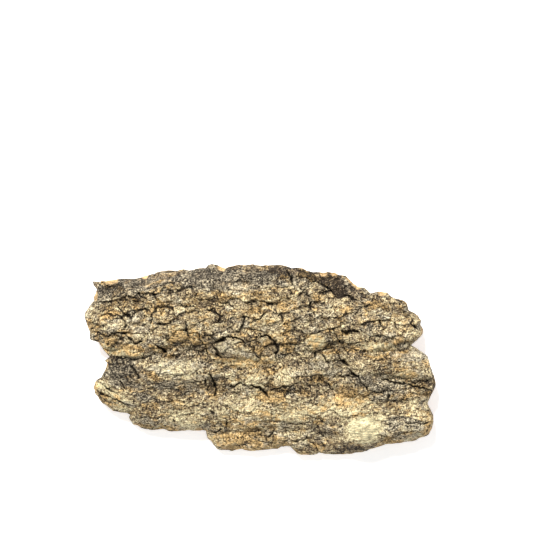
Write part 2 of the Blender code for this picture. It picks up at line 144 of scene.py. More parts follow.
# Fissures: half width in grid steps, depth in mm, route
FISSURES = [
    (1.9, 2.5, [(-120, 68), (-117, 63.5), (-112, 61)]),
    (1.5, 2.5, [(-105, 66), (-103, 62), (-99, 61)]),
    (1.8, 4.0, [(-139, 54), (-132, 47), (-124, 43)]),
    (1.1, 2.5, [(-128, 54), (-131, 47), (-133, 43)]),
    (1.4, 3.0, [(-80, 55.5), (-72, 54.5), (-65, 54), (-60, 50.5), (-56, 46.5)]),
    (2.4, 4.0, [(-52, 51.5), (-42, 49), (-36, 45), (-40, 38.5)]),
    (1.0, 2.0, [(-159, 35.5), (-156, 44.5), (-150, 47.5), (-138, 46), (-132, 38.5), (-134, 29)]),
    (1.4, 3.0, [(-169, 22), (-158, 27.5), (-152, 25.5), (-140, 28.5), (-129, 28)]),
    (1.4, 3.0, [(-133, 27.5), (-128, 23.5), (-123, 17.5), (-114, 20.5)]),
    (1.0, 2.0, [(-127, 38.5), (-124, 46.5), (-120, 51), (-112, 52.5), (-108, 46.5)]),
    (1.3, 2.5, [(-105, 36), (-106, 46.5), (-100, 53.5), (-90, 55), (-84, 50), (-83, 41)]),
    (1.1, 2.5, [(-83, 41), (-92, 36.5), (-105, 38)]),
    (1.5, 3.5, [(-71, 40), (-70, 29), (-68, 22.5)]),
    (1.1, 2.5, [(-92, 36.5), (-89, 28.5), (-91, 20.5)]),
    (1.5, 3.5, [(-68, 26.5), (-60, 29.5), (-58, 20.5), (-52, 15), (-51, 5)]),
    (2.6, 5.0, [(-100, 15), (-96, 11), (-91, 9)]),
    (2.4, 5.0, [(-47, 18), (-42, 8.5), (-36, 3)]),
    (1.9, 4.0, [(-46, 19), (-40, 19.5), (-30, 23.5), (-20, 22.5)]),
    (1.1, 2.5, [(-20, 22.5), (-12, 18.5), (-4, 12.5), (-6, 4)]),
    (2.3, 5.0, [(1, 24.5), (8, 26), (14, 21.5), (17, 14.5), (17, 2)]),
    (1.0, 2.0, [(20, 12), (24, 20), (32, 24.5)]),
    (1.3, 3.0, [(-16, 46.5), (-15, 36.5), (-20, 28)]),
    (1.2, 2.5, [(-10, 36.5), (0, 42.5), (8, 47.5), (19, 48.5)]),
    (1.1, 2.5, [(21, 46.5), (23, 38)]),
    (1.1, 2.0, [(34, 39), (36, 30)]),
    (2.0, 5.0, [(27, 90), (32, 83), (33, 75)]),
    (1.1, 2.0, [(31, 71), (33, 64)]),
    (1.2, 2.5, [(50, 59), (51, 50), (56, 44)]),
    (1.5, 3.5, [(46, 83), (60, 77), (70, 70), (77, 62)]),
    (1.8, 4.0, [(84, 66), (92, 62), (97, 60)]),
    (1.9, 3.5, [(118, 67.5), (132, 65), (140, 60), (147, 56.5)]),
    (1.4, 3.0, [(144, 49), (152, 36.5), (158, 30)]),
    (2.2, 4.0, [(82, 30), (88, 28), (93, 29), (98, 28.5)]),
    (1.5, 3.0, [(72, 31), (78, 22.5), (80, 18)]),
    (1.7, 4.0, [(77.5, 9), (80, 3), (84, -1), (90, -5)]),
    (1.5, 4.0, [(89, -7), (92, -13), (98, -15), (101, -21), (107, -27), (108, -34)]),
    (1.2, 2.5, [(55, 9), (55, 2)]),
    (1.4, 3.0, [(60, 8), (70, -3)]),
    (1.6, 3.5, [(120, -18), (140, -22), (160, -26), (173, -29)]),
    (1.2, 2.5, [(78, -15.5), (90, -14.5), (96, -16)]),
    (1.7, 3.5, [(-126, -4), (-120, -14), (-118, -19)]),
    (1.2, 2.5, [(-137, -19.5), (-134, -28)]),
    (2.0, 5.0, [(-50, -12), (-45, -20), (-44, -28), (-44, -34)]),
    (1.1, 2.5, [(-56, -14), (-52, -22), (-50, -30)]),
    (1.3, 3.0, [(-30, -26), (-22, -23), (-8, -23)]),
    (2.2, 5.0, [(-8, -23), (0, -25), (6, -31), (9, -36)]),
    (1.3, 3.0, [(58, -16), (62, -19.5), (70, -24), (74, -30)]),
    (1.2, 2.5, [(12, -29), (24, -26), (32, -24), (42, -22)]),
    (1.5, 3.0, [(-164, -28.5), (-150, -35.5), (-140, -39.5), (-128, -44)]),
    (1.0, 2.0, [(-158, -20), (-145, -30), (-136, -34)]),
    (1.4, 3.0, [(46, -75), (52, -81.5), (60, -90)]),
    (1.0, 2.0, [(62, -80), (64, -88)]),
    (1.2, 2.5, [(16, -67), (8, -77)]),
    (1.1, 2.0, [(23, -79), (36, -80), (48, -78)]),
    (0.9, 1.5, [(140, -60.5), (158, -61.5), (168, -62)]),
    (0.9, 1.5, [(122, -61), (132, -62)]),
    (0.9, 1.5, [(43, -51), (52, -55), (60, -57.5), (68, -63)]),
    (1.2, 2.5, [(-38, -67), (-42, -71), (-50, -71)]),
    (1.1, 2.5, [(-32, -65), (-30, -59)]),
    (1.3, 2.0, [(-87, -58), (-85, -60)]),
    (1.6, 2.5, [(-48, -50), (-44, -51)]),
    (1.3, 3.0, [(125, -26), (128, -34), (126, -41)]),
    (1.0, 2.0, [(-5, 15), (-4, 7), (2, 2)]),
    (1.1, 2.5, [(-165, 31), (-158, 38), (-156, 42)]),
    (1.0, 2.0, [(-52, 62), (-43, 58), (-30, 57), (-24, 52)]),
    (1.0, 2.0, [(-100, 76), (-86, 78), (-84, 73)]),
    (1.0, 2.0, [(118, 46), (120, 37), (126, 30)]),
    (1.0, 2.0, [(132, 48), (134, 38), (138, 28)]),
    (1.1, 2.0, [(94, 44), (100, 52), (112, 55)]),
]

# Torn ledges: how far the surface drops to the right-hand side in mm, how soon that fades away
# from the ledge in steps, route
LEDGES = [
    (5.0, 7, [(-156, 12), (-144, 5), (-132, 3), (-114, 5), (-101, 9)]),
    (4.5, 7, [(-97, 12), (-86, 7), (-72, 9), (-60, 11), (-52, 14)]),
    (2.5, 5, [(-46, -12), (-34, -6), (-10, -3), (8, -7), (13, -14)]),
    (3.0, 5, [(-28, -28), (-14, -23), (-4, -24), (4, -30), (10, -36)]),
    (4.0, 7, [(70, 30), (84, 19), (98, 12), (120, 9), (142, 12), (152, 17)]),
    (-3.5, 7, [(30, 92), (46, 85), (60, 76), (77, 63), (96, 67), (106, 69)]),
    (3.0, 5, [(77, 9), (88, -3), (96, -13), (100, -23), (107, -34)]),
    (3.0, 5, [(114, -17), (140, -21), (160, -26), (174, -28)]),
    (2.5, 5, [(-163, -25), (-150, -33), (-140, -38), (-128, -43)]),
    (1.5, 4, [(-14, 38), (2, 44), (12, 48), (24, 48), (34, 42)]),
    (2.5, 5, [(-50, 27), (-40, 22), (-26, 24), (-14, 22), (-4, 14)]),
    (1.5, 4, [(110, 47), (118, 46), (128, 49)]),
    (2.0, 5, [(50, -12), (62, -20), (74, -27), (84, -36)]),
    (1.8, 4, [(18, -8), (28, 0), (40, 4), (56, 2)]),
    (-2.0, 4, [(16, -26), (14, -16), (20, -6)]),
    (1.8, 5, [(18, -84), (34, -78), (50, -76), (66, -80)]),
    (1.5, 4, [(110, -46), (128, -52), (150, -54), (168, -58)]),
    (1.5, 4, [(-20, -56), (0, -60), (22, -58), (44, -62)]),
    (1.5, 4, [(-96, -44), (-80, -46), (-62, -42), (-48, -44)]),
]

# Plates that stand out singly: x, y, half length, half width, turn in degrees, rise in mm
PLATES = [
    (-145, 37, 12, 9, 0, 1.0), (-118, 44, 9, 8, 0, 0.8), (-94, 46, 10, 8.5, 0, 1.2),
    (-70, 45, 10, 8, 0, 0.9), (-81, 28, 10, 8.5, 0, 1.1), (-99, 67.5, 21, 9, 3, 1.0),
    (62, 59.5, 10, 7, 0, 1.2), (-16, 52, 9, 4, 20, 0.9), (-24, 12, 18, 8, -3, 1.2),
    (116, 14.5, 17, 8, 4, 1.0), (57, 20.5, 11, 6, 0, 0.8), (59, -3.5, 13, 11, 0, 0.8),
    (17, -73.5, 9, 7, 20, 0.9), (-135, 23, 8, 5, 0, 0.9), (141, -68, 6, 3.5, 20, 0.7),
    (119, 53.5, 13, 6, -8, 0.8), (40, 78, 8, 5, -30, 1.0), (-130, 62, 9, 6, 30, 0.7),
    (-45, 34, 9, 8, 0, 0.9), (-2, 31, 9, 7, 0, 0.9), (10, 62, 12, 5, 25, 1.0),
    (38, 66, 9, 7, -10, 0.9), (92, 46, 9, 7, 0, 0.9), (-20, 78, 12, 8, 0, 0.6),
    (-40, 80, 8, 8, 0, 0.7), (144, 30, 9, 10, 0, 0.8), (-165, 48, 7, 9, 10, 0.7),
]

# Places where the growth lines run aslant: x, y, reach, slope
ASLANT = [
    (-146, -30, 24, -0.62), (30, -2, 20, -1.3), (48, 2, 16, -0.9), (14, -2, 14, -0.8),
    (-148, 64, 22, 0.6), (96, -12, 16, -0.9), (56, -74, 18, -0.7), (-60, 60, 24, -0.25),
    (95, 70, 24, -0.5), (-100, -60, 16, 0.5), (75, -18, 14, 0.6),
]

# Places where the tan inner cork shows past the outer bark at the rim: x, y, reach
CORK_LIPS = [
    (-147.5, 79, 6.5), (-161, 64, 4.5), (-171, 34, 3.5), (-114, 84, 3), (-38, 92, 4),
    (64, 87, 3.5), (75, 87, 3.5), (90, 81, 4), (97, 75, 5), (123, 69, 5), (164, 30, 3.5),
    (-153, -4, 3), (-165, -28, 3), (-123, -66, 3.5), (-60, -71, 4), (-34, -89, 4),
    (-12, -91, 3.5), (171, -70, 4), (45, -95, 3),
]

# Places of one colour: x, y, half length, half width, turn in degrees, strength. Where places of
# a list overlap, the strongest holds.
# Pale places are mostly paler bark. Those at (104, -65), (57, 20), (114, 14) and (-13, -1) are also
# painted light, strong enough to lift faces that slope away from the key light or lie in shadow under
# the apron.
PALE_PLACES = [
    (-82, -6, 30, 12, 0, 1.3), (-62, -16, 12, 10, 0, 0.5),
    (92, -56, 28, 13, -12, 0.8), (28, -18, 13, 12, 0, 0.65), (-12, -17, 24, 11, 0, 0.4),
    (60, -4, 14, 12, 0, 0.6), (57, 20, 11, 6, 0, 3.0), (114, 14, 18, 7, 4, 1.8),
    (20, -40, 80, 10, 0, 0.4), (-70, -60, 17, 10, 0, 0.6), (40, -50, 70, 8, -3, 0.35),
    (-25, 12, 18, 7, -4, 1.1), (150, 0, 16, 12, 0, 0.3), (150, -50, 22, 10, 0, 0.3),
    (-132, -34, 22, 5, -32, 0.6), (-150, -22, 12, 5, -35, 0.5), (141, -68, 6, 4, 20, 0.7),
    (-90, 74, 14, 6, 0, 0.3), (15, 78, 8, 6, 0, 0.3), (-12, 62, 20, 5, 5, 0.3),
    (130, 40, 16, 12, 0, 0.25), (-25, -46, 30, 8, 0, 0.3), (-138, 9, 26, 6, -8, 1.6),
    (104, -65, 21, 16, -6, 2.8), (25, -18, 9, 11, 0, 1.1), (-4, -35, 9, 4, 0, 0.6),
    (-24, -13, 22, 6, 0, 0.4),
    (-146, -31, 17, 8, -32, 0.9), (-70, 42, 60, 12, 0, 0.3), (10, 34, 40, 12, 0, 0.35),
    (25, -41, 32, 6, 0, 0.7), (147, -14, 12, 4, -8, 0.6), (121, 56, 12, 4, -8, 0.5),
    (-60, 76, 50, 8, 2, 0.2), (-20, 52, 60, 10, 0, 0.25), (-30, -42, 30, 8, 0, 0.4),
    (15, -46, 50, 9, 0, 0.7), (-146, -30, 16, 8, -32, 1.4), (-100, 36, 60, 16, 0, 0.25),
    (-5, -20, 34, 10, 0, 0.4), (-75, -51, 22, 7, 0, 0.6), (10, -78, 22, 8, 0, 0.3),
    (-140, -43, 12, 6, -30, 0.7), (60, -26, 22, 7, 0, 0.5),
    (-13, -1, 28, 6, 0, 1.8), (-74, 30, 15, 15, 0, 0.6), (92, -40, 17, 8, 0, 0.9),
    (85, 50, 9, 4, 0, 0.4), (-63, 25, 5, 5, 0, 0.7), (120, 14, 13, 7, 4, 0.4),
]
# Dark places are mostly darker bark; the one at (-133, -13), in the strip under the great roll's left
# end, is partly painted shade.
DARK_PLACES = [
    (72, 77, 28, 12, -22, 2.1), (98, 69, 12, 7, -20, 1.4), (-133, -13, 20, 16, 0, 0.8),
    (-110, 74, 60, 12, 8, 1.1), (-20, 86, 80, 12, 0, 1.3), (-60, 80, 60, 10, 3, 0.9),
    (-92, -27, 44, 8, -3, 0.45), (120, -24, 30, 9, -4, 0.15), (66, -78, 22, 15, 0, 1.3),
    (88, -88, 28, 6, 6, 1.8), (-150, 72, 20, 7, 24, 1.9), (-100, 3, 44, 5, 0, 0.3),
    (-110, -57, 22, 14, 0, 1.4), (155, -55, 17, 10, 0, 0.4), (120, 50, 36, 9, 0, 0.3),
    (25, 89, 20, 7, 0, 2.1),
    (135, -88, 44, 5, 8, 0.8), (155, -22, 22, 8, -6, 0.4), (75, -86, 46, 8, 3, 0.9),
    (-20, -76, 44, 9, 0, 0.3), (-86, -62, 16, 8, 0, 0.7), (76, -66, 10, 14, -20, 0.7),
    (-120, -54, 12, 8, -20, 0.6), (-52, -62, 12, 8, 0, 0.4), (-30, -68, 14, 6, 0, 0.4),
    (-98, -66, 34, 6, 0, 0.9), (-148, -46, 16, 6, -35, 0.5), (-60, -67, 16, 4, 0, 0.6),
    (-90, 85, 36, 6, 4, 0.4), (-163, 76, 6, 4, 0, 0.7),
    (10, -22, 6, 9, 0, 0.6), (60, -76, 22, 8, 6, 0.5), (50, -26, 22, 7, 0, 0.45),
    (-45, -50, 4, 3.5, 0, 0.9), (-45, -22, 5, 12, 0, 0.4), (-40, 47, 12, 5, -10, 0.5),
    (90, 29, 12, 5, 0, 0.7), (-135, 23, 8, 5, 0, 0.5), (-128, -53, 6, 5, 0, 0.6),
    (-60, 54, 20, 5, -8, 0.35), (45, 62, 10, 8, 0, 0.3),
    (105, 6, 16, 4, 0, 0.4), (60, 13, 14, 3, 0, 0.4), (45, -30, 28, 9, 0, 0.2),
    (120, -30, 20, 8, 0, 0.35), (-160, 35, 8, 12, 0, 0.25),
]
OCHRE_PLACES = [
    (-145, 17, 26, 6, -12, 0.8), (-95, 12, 28, 5, 0, 0.6), (115, 56, 14, 5, -10, 0.9),
    (88, 50, 12, 5, -10, 0.6), (8, 14, 8, 10, 0, 0.75),
    (70, 9, 12, 3, 0, 0.85), (-62, 22, 5, 8, 0, 0.7), (-42, 90, 7, 5, 0, 0.7),
    (-40, -74, 8, 5, 0, 0.7), (-25, -86, 9, 4, 0, 0.7), (-92, 68, 12, 5, 10, 0.5),
    (-150, 42, 10, 8, 0, 0.4), (0, -70, 30, 10, 0, 0.45), (20, -33, 60, 6, 0, 0.5),
    (90, -36, 18, 10, 0, 0.7), (145, -10, 16, 5, 0, 0.5), (140, -34, 12, 5, 0, 0.7),
    (165, -70, 6, 7, 0, 0.8), (-15, -14, 24, 5, 0, 0.3), (8, -10, 12, 6, 0, 0.4),
    (-20, 66, 30, 6, 4, 0.35), (50, 84, 12, 5, -20, 0.45), (30, 55, 22, 6, 0, 0.4),
    (-76, 24, 14, 12, 0, 0.6), (105, 38, 16, 8, 0, 0.35), (5, -36, 12, 5, 0, 0.3),
    (15, -46, 50, 8, 0, 0.5), (0, -80, 44, 10, 0, 0.8), (57, 20, 12, 7, 0, 1.3),
    (114, 14, 19, 8, 4, 0.7), (-13, -1, 30, 7, 0, 0.9), (140, -75, 22, 7, 0, 0.8),
    (140, 20, 14, 8, 0, 0.3), (-140, 68, 10, 4, 20, 0.4), (-115, 30, 14, 8, 0, 0.25),
    (-22, -2, 26, 6, 0, 0.4), (-4, -35, 9, 4, 0, 0.6), (25, -41, 32, 6, 0, 0.4),
    (147, -14, 12, 4, -8, 0.7), (-138, 9, 22, 5, -6, 0.9), (0, -76, 50, 12, 0, 0.4),
    (-96, -66, 36, 6, 0, 0.4), (-148, -40, 16, 8, -35, 0.4), (104, -66, 20, 18, 0, 0.5),
]
GREY_PLACES = [
    (-30, 80, 60, 12, 0, 0.8), (-110, 74, 40, 10, 10, 0.6), (-131, -14, 24, 20, 0, 0.7),
    (-24, 13, 18, 8, 0, 0.8), (150, 2, 22, 12, 0, 0.6), (-70, -14, 40, 14, 0, 0.4),
    (60, -4, 16, 14, 0, 0.5), (-120, 40, 20, 14, 0, 0.35), (145, -62, 26, 14, 0, 0.35),
    (28, -20, 16, 12, 0, 0.4), (-60, 36, 40, 14, 0, 0.3),
    (-95, -26, 44, 8, 0, 0.5), (120, -24, 30, 9, -4, 0.5),
    (130, 32, 24, 14, 0, 0.3), (-80, -6, 34, 12, 0, 0.9), (-150, 68, 30, 8, 24, 0.6),
]

# Thin torn edges that catch the light: half width in steps, how pale, how warm, route
STREAKS = [
    (1.4, 2.4, 0.4, [(20, 9), (22, 15), (27, 23)]),
    (1.2, 1.2, 0.3, [(-56, 20), (-51, 10), (-44, 3), (-28, 1), (-8, 2)]),
    (1.4, 0.7, 0.9, [(-161, 22), (-160, 33), (-156, 42), (-148, 47), (-139, 47)]),
    (1.0, 1.8, 0.0, [(52, 80), (62, 75), (70, 68), (75, 61)]),
    (1.4, 2.4, 0.3, [(50, -79), (56, -84), (62, -90)]),
    (1.2, 2.2, 0.4, [(67, -79), (63, -84), (64, -90)]),
    (1.2, 1.6, 0.0, [(34, -81), (44, -79), (50, -77)]),
    (1.2, 1.3, 0.4, [(-110, 75), (-99, 80), (-88, 78), (-83, 71)]),
    (1.0, 1.1, 0.6, [(-70, 20), (-64, 31), (-58, 24)]),
    (2.6, 1.5, 0.2, [(-163, -22), (-150, -26), (-138, -36), (-130, -41)]),
    (1.0, 0.6, 0.4, [(96, 58), (104, 50), (106, 44)]),
    (1.0, 0.6, 0.3, [(-2, 62), (6, 55), (14, 50)]),
    (1.1, 0.6, 0.2, [(84, -9), (92, -17), (99, -22)]),
    (1.0, 0.6, 0.2, [(60, -34), (70, -22), (76, -17), (82, -24)]),
    (0.9, 0.6, 0.0, [(-20, 30), (-8, 28), (2, 30)]),
    (1.0, 0.5, 0.5, [(118, 4), (100, 6), (84, 12)]),
]

# Smooth places with little of the plates and flakes, in the terms of the places of one colour
SMOOTH_PLACES = [
    (-112, 80, 40, 9, 9, 0.9), (-48, 84, 30, 10, 4, 0.8), (-10, 88, 44, 8, 0, 0.7),
    (72, 77, 30, 10, -24, 0.7), (-131, -14, 20, 14, 0, 0.6), (100, -70, 20, 14, -8, 0.5),
    (-16, 76, 26, 8, 0, 0.5), (-150, 72, 12, 6, 30, 0.7),
    (-75, -26, 40, 6, -4, 0.5), (70, -84, 34, 6, 4, 0.6), (-20, 6, 30, 5, 0, 0.5),
]

# The inner face's arch: half its width in steps, the slope of its ridge in plan, and about how
# high the rim's underside stays over what the slab rests on
ARCH_HALF_WIDTH = 84.0
ARCH_LEAN = -0.1
SKIRT_CLEARANCE = 1.6 * MM

# The bark's thickness at its thinnest and at the rim, and how far in from the rim, in steps, it
# is rounded off
LEAST_THICKNESS = 3.5 * MM
EDGE_THICKNESS = 6.5 * MM
EDGE_ROUNDING = 15.0

# The low spots that it rests on: their places, how far they reach in steps, how many times
# narrower they are across the grain, and the height that they are cut flat at
FEET = [(-108, -60), (110, -80), (-10, 86)]
FOOT_REACH = 36.0
FOOT_NARROWER_ACROSS = 1.4
FLAT_CUT = 0.5 * MM

# How far the outer bark and the inner face stand back from the broken edge, in grid steps: on
# average, and how much that varies
OUTER_BARK_INSET = (2.2, 1.6)
INNER_FACE_INSET = (2.4, 1.2)

# Scaly plates: their length and width in steps, how unlike their levels are, how far they lean,
# how round they are, and their gaps' depth and how dark the painted shade in them is. The far half
# carries small thick plates that lie like shingles, the near half long thin ones.
FAR_PLATES = (16.0, 10.0, 0.9 * MM, 1.9 * MM, 0.9 * MM, 0.9 * MM, 0.45)
NEAR_PLATES = (27.0, 10.0, 0.6 * MM, 1.0 * MM, 0.4 * MM, 0.9 * MM, 0.3)

# Where, across the slab, the plates change from the near kind to the far kind, and how wide their
# gaps are as a share of a plate
PLATES_CHANGE_BETWEEN = (0, 9)
PLATE_GAP_SHARE = 0.06

# How strong the small scales are on the near half, as a share of their strength on the far half
NEAR_SCALES = 0.3

# Stacked flakes: the range along the slab that all lie in, and for each kind the range across
# it, how many, and the ranges of half lengths and half widths in steps and thicknesses in mm
FLAKES_ALONG = (-176, 176)
FLAKES = [
    ((0, 98), 240, (4, 11), (2.5, 7), (0.2, 0.7)),
    ((-96, 8), 220, (6, 24), (2.2, 6), (0.2, 0.6)),
    ((0, 98), 420, (1.4, 4), (1.1, 3), (0.2, 0.5)),
    ((-96, 8), 420, (2, 6), (0.9, 2.0), (0.2, 0.5)),
]

# The share of flakes that are warm in colour, how strong the painted light is that makes the near
# side paler, and how many small dark holes there are
WARM_SHARE = 0.1
NEAR_SIDE_PAINTED_LIGHT = 0.7
PIT_COUNT = 60

# The maps of the outer face: a cell's size and half the size of the whole, in grid steps
MAP_STEP = 0.5
MAP_HALF = (180.0, 102.0)

# Rows of points between the upper and the lower edge of the rim, and between which shares of the
# rim's height the inner face's colour ends, the band of torn cork ends and gaps begin
RIM_ROWS = 5
INNER_FACE_ENDS = (0.02, 0.12)
CORK_BAND_ENDS = (0.36, 0.52)
GAPS_BEGIN = (0.5, 0.9)

# What the material reads at each point of the slab
FIELDS = ("bark_gap_painted_shade", "bark_pale_and_painted_light", "bark_dark_and_painted_shade", "bark_ochre", "bark_grey", "bark_tone",
          "bark_cavity_dirt_and_shading", "bark_lined", "bark_checked", "bark_smooth", "bark_cut", "bark_inner")

# The material's own values: the outer bark's middle tone, how dark growth lines are and how
# dark the painted shade in gaps is, the height in the bump of a pattern of weight 1, the size of a
# crumb of bark, and the size and the reach of the swirls that bend crumbs and creases
MIDDLE_TONE = 0.41
LINE_DARKNESS = 0.7
GAP_DARKNESS = 0.92
FINE_RELIEF = 0.9 * MM
CRUMB_SIZE = 3 * MM
SWIRL_SIZE = 4 * MM
SWIRL_REACH = 3 * MM

# The picture's frame: its side and the slab's middle in pixels, one grid step to a pixel, then
# the height at which that holds, and the camera's sensor and lens in mm
PICTURE_PIXELS = 540
SLAB_PIXEL = (260, 359.5)
RIM_HEIGHT = 6 * MM
SENSOR_WIDTH = 36.0
LENS = 135.0

# The floor's radius in metres; the key light's turn, so that it comes from the far left, its
# strength and how wide it looks; and the strengths of the sky and of the floor's own light
FLOOR_RADIUS = 6
KEY_TURN = (math.radians(-36), math.radians(-19), 0)
KEY_STRENGTH = 4.9
KEY_ANGLE = math.radians(9)
SKY_STRENGTH = 0.44
FLOOR_GLOW = 0.58


def linear(hex_colour):
    """A colour given as sRGB hex, as the linear red, green, blue and alpha that shaders take."""
    parts = [int(hex_colour[i:i + 2], 16) / 255 for i in (1, 3, 5)]
    return (*[p / 12.92 if p <= 0.04045 else ((p + 0.055) / 1.055) ** 2.4 for p in parts], 1.0)


def lattice_values(ix, iy, seed):
    """One repeatable value from 0 to 1 for each corner of a square lattice."""
    mixed = (ix * 374761393 + iy * 668265263 + seed * 974634777) & 0xFFFFFFFF
    mixed = ((mixed ^ (mixed >> 13)) * 1274126177) & 0xFFFFFFFF
    return ((mixed ^ (mixed >> 16)) & 0xFFFF) / 65535.0


def noise(x, y, seed):
    """Smooth noise from -1 to 1, with one hill or hollow to about each unit square."""
    ix, iy = np.floor(x).astype(np.int64), np.floor(y).astype(np.int64)
    fx, fy = x - ix, y - iy
    fx, fy = fx * fx * (3 - 2 * fx), fy * fy * (3 - 2 * fy)
    near = lattice_values(ix, iy, seed) * (1 - fx) + lattice_values(ix + 1, iy, seed) * fx
    far = lattice_values(ix, iy + 1, seed) * (1 - fx) + lattice_values(ix + 1, iy + 1, seed) * fx
    return 2 * (near * (1 - fy) + far * fy) - 1


def rough_noise(x, y, seed, octaves=3):
    """Noise with finer noise laid on it, each layer half as strong and twice as fine."""
    total, share, scale = np.zeros_like(x), 1.0, 1.0
    for octave in range(octaves):
        total += share * noise(x * scale + 17.3 * octave, y * scale - 9.1 * octave, seed + octave)
        share, scale = share / 2, scale * 2
    return total / (2 - 2 * share)


def cells(x, y, seed):
    """Scale-like cells of about one unit: how far the nearest border is, and each cell's values.

    It returns the border distance, a value from 0 to 1 for the cell, and the way from the
    cell's middle as two arrays.
    """
    ix, iy = np.floor(x).astype(np.int64), np.floor(y).astype(np.int64)
    first, second = np.full(x.shape, 9.0), np.full(x.shape, 9.0)
    value, away_x, away_y = np.zeros_like(x), np.zeros_like(x), np.zeros_like(x)
    for row in (-1, 0, 1):
        for column in (-1, 0, 1):
            cx, cy = ix + column, iy + row
            dx = x - (cx + lattice_values(cx, cy, seed))
            dy = y - (cy + lattice_values(cx, cy, seed + 7))
            distance = np.hypot(dx, dy)
            nearer = distance < first
            second = np.where(nearer, first, np.minimum(second, distance))
            value = np.where(nearer, lattice_values(cx, cy, seed + 13), value)
            away_x, away_y = np.where(nearer, dx, away_x), np.where(nearer, dy, away_y)
            first = np.where(nearer, distance, first)
    return second - first, value, away_x, away_y


def smooth_step(value, low, high):
    """0 below low, 1 above high, and a smooth rise between."""
    share = np.clip((value - low) / (high - low), 0, 1)
    return share * share * (3 - 2 * share)


def nearest_on_route(x, y, route):
    """How far each point lies to the left of a route, and the route's further values there."""
    aside = np.full(x.shape, np.inf)
    extra = np.zeros((len(route[0]) - 2,) + x.shape)
    for start, end in zip(route, route[1:]):
        run_x, run_y = end[0] - start[0], end[1] - start[1]
        run = run_x**2 + run_y**2
        share = np.clip(((x - start[0]) * run_x + (y - start[1]) * run_y) / run, 0, 1)
        off_x, off_y = x - start[0] - share * run_x, y - start[1] - share * run_y
        distance = np.hypot(off_x, off_y) * np.where(run_x * off_y - run_y * off_x < 0, -1, 1)
        nearer = abs(distance) < abs(aside)
        aside = np.where(nearer, distance, aside)
        for index in range(len(extra)):
            between = start[index + 2] + share * (end[index + 2] - start[index + 2])
            extra[index] = np.where(nearer, between, extra[index])
    return aside, extra


def with_shares(route):
    """A route whose points also say what share of its stretches lies behind them."""
    return [(*point, index / (len(route) - 1)) for index, point in enumerate(route)]


def torn_points(x, y, *layers):
    """Plan points moved aside unevenly, so that what is drawn at them looks torn.

    A layer has how far it moves them, its noise's size in steps and octaves, and two seeds.
    """
    torn_x, torn_y = x, y
    for reach, size, octaves, seed_x, seed_y in layers:
        torn_x = torn_x + reach * rough_noise(x / size, y / size, seed_x, octaves)
        torn_y = torn_y + reach * rough_noise(x / size, y / size, seed_y, octaves)
    return torn_x, torn_y


def ledge_height(x, y):
    """Torn ledges, each higher on one side: height, painted shade in the crevice at the foot, broader
    painted shade below, and a painted highlight on the lip above.
    """
    torn_x, torn_y = torn_points(x, y, (3.2, 9, 3, 271, 281), (0.8, 1.7, 1, 277, 283))
    total, foot, shade, lip_highlight = (np.zeros_like(x) for _ in range(4))
    worn = smooth_step(noise(x / 9, y / 9, 287), -0.7, 0.3)
    for drop, fade, route in LEDGES:
        aside, (share,) = nearest_on_route(torn_x, torn_y, with_shares(route))
        strength = worn * np.sqrt(np.clip(np.sin(math.pi * share), 0, 1))
        total += drop / 2 * MM * np.tanh(aside / 0.6) * strength * np.exp(-abs(aside) / fade)
        strength *= min(abs(drop) / 3, 1)
        upward = aside * math.copysign(1, drop)
        # Painted shade: a thin dark crevice at the foot of the ledge, and a broader band below it
        foot = np.maximum(foot, strength * np.exp(-(((upward + 0.8) / 0.8) ** 2)))
        below = np.where(upward < 0, np.exp(upward / 3.5), np.exp(-upward / 0.5))
        shade = np.maximum(shade, strength * below)
        # Painted highlight: a pale lip along the ledge's upper side
        lip_highlight = np.maximum(lip_highlight, strength * np.exp(-(((upward - 1.2) / 1.0) ** 2)))
    return total, foot * smooth_step(noise(x / 7, y / 7, 293), 0.0, 0.5), shade, lip_highlight


def turned(x, y, place):
    """Points in an ellipse's own terms: along and aside are 1 on its rim's ends."""
    mid_x, mid_y, half_length, half_width, turn = place[:5]
    c, s = math.cos(math.radians(turn)), math.sin(math.radians(turn))
    along = ((x - mid_x) * c + (y - mid_y) * s) / half_length
    aside = ((y - mid_y) * c - (x - mid_x) * s) / half_width
    return along, aside


def outline_reach(angle):
    """How far the broken edge lies from the slab's middle, in each direction."""
    points = np.array(OUTLINE, float)
    angles = np.arctan2(points[:, 1], points[:, 0])
    order = np.argsort(angles)
    return np.interp(angle, angles[order], np.hypot(*points.T)[order], period=2 * math.pi)


def inner_arch(x, y, rise):
    """Height of the inner face before its low spots: the trunk's arch, with a gentle swell."""
    across = (y - ARCH_LEAN * x) / ARCH_HALF_WIDTH
    arch = rise * (1 - across**2)
    swell = 0.9 * MM * rough_noise(x / 45, y / 30, 301) + 0.3 * MM * noise(x / 9, y / 5, 305)
    return np.maximum(np.logaddexp(arch / MM, SKIRT_CLEARANCE / MM) * MM + swell, 1 * MM)


def low_spots(x, y):
    """0 on the three spots that the slab stands on, and 1 away from them."""
    share = np.ones_like(x)
    for foot_x, foot_y in FEET:
        apart = np.hypot(x - foot_x, FOOT_NARROWER_ACROSS * (y - foot_y)) / FOOT_REACH
        share *= smooth_step(apart, 0.2, 1)
    return share


def roll_height(x, y):
    """The long rolls: each rises like a bolster, and the higher one hides the lower one."""
    bent_x = x + 8 * rough_noise(x / 30, y / 22, 21)
    bent_y = y + 5 * rough_noise(x / 24, y / 20, 27)
    merged = np.ones_like(x)
    raised = [(spine, BACK_STEEPNESS) for spine in BACKS.values()]
    raised += [(spine, ROLL_STEEPNESS) for spine in ROLLS.values()]
    for spine, steepness in raised:
        aside, (half_width, height) = nearest_on_route(bent_x, bent_y, spine)
        round_back = np.clip(1 - (aside / half_width) ** 2, 0, 1) ** steepness
        merged += np.exp(height * round_back / VALLEY_ROUNDING) - 1
    return np.log(merged) * VALLEY_ROUNDING * MM


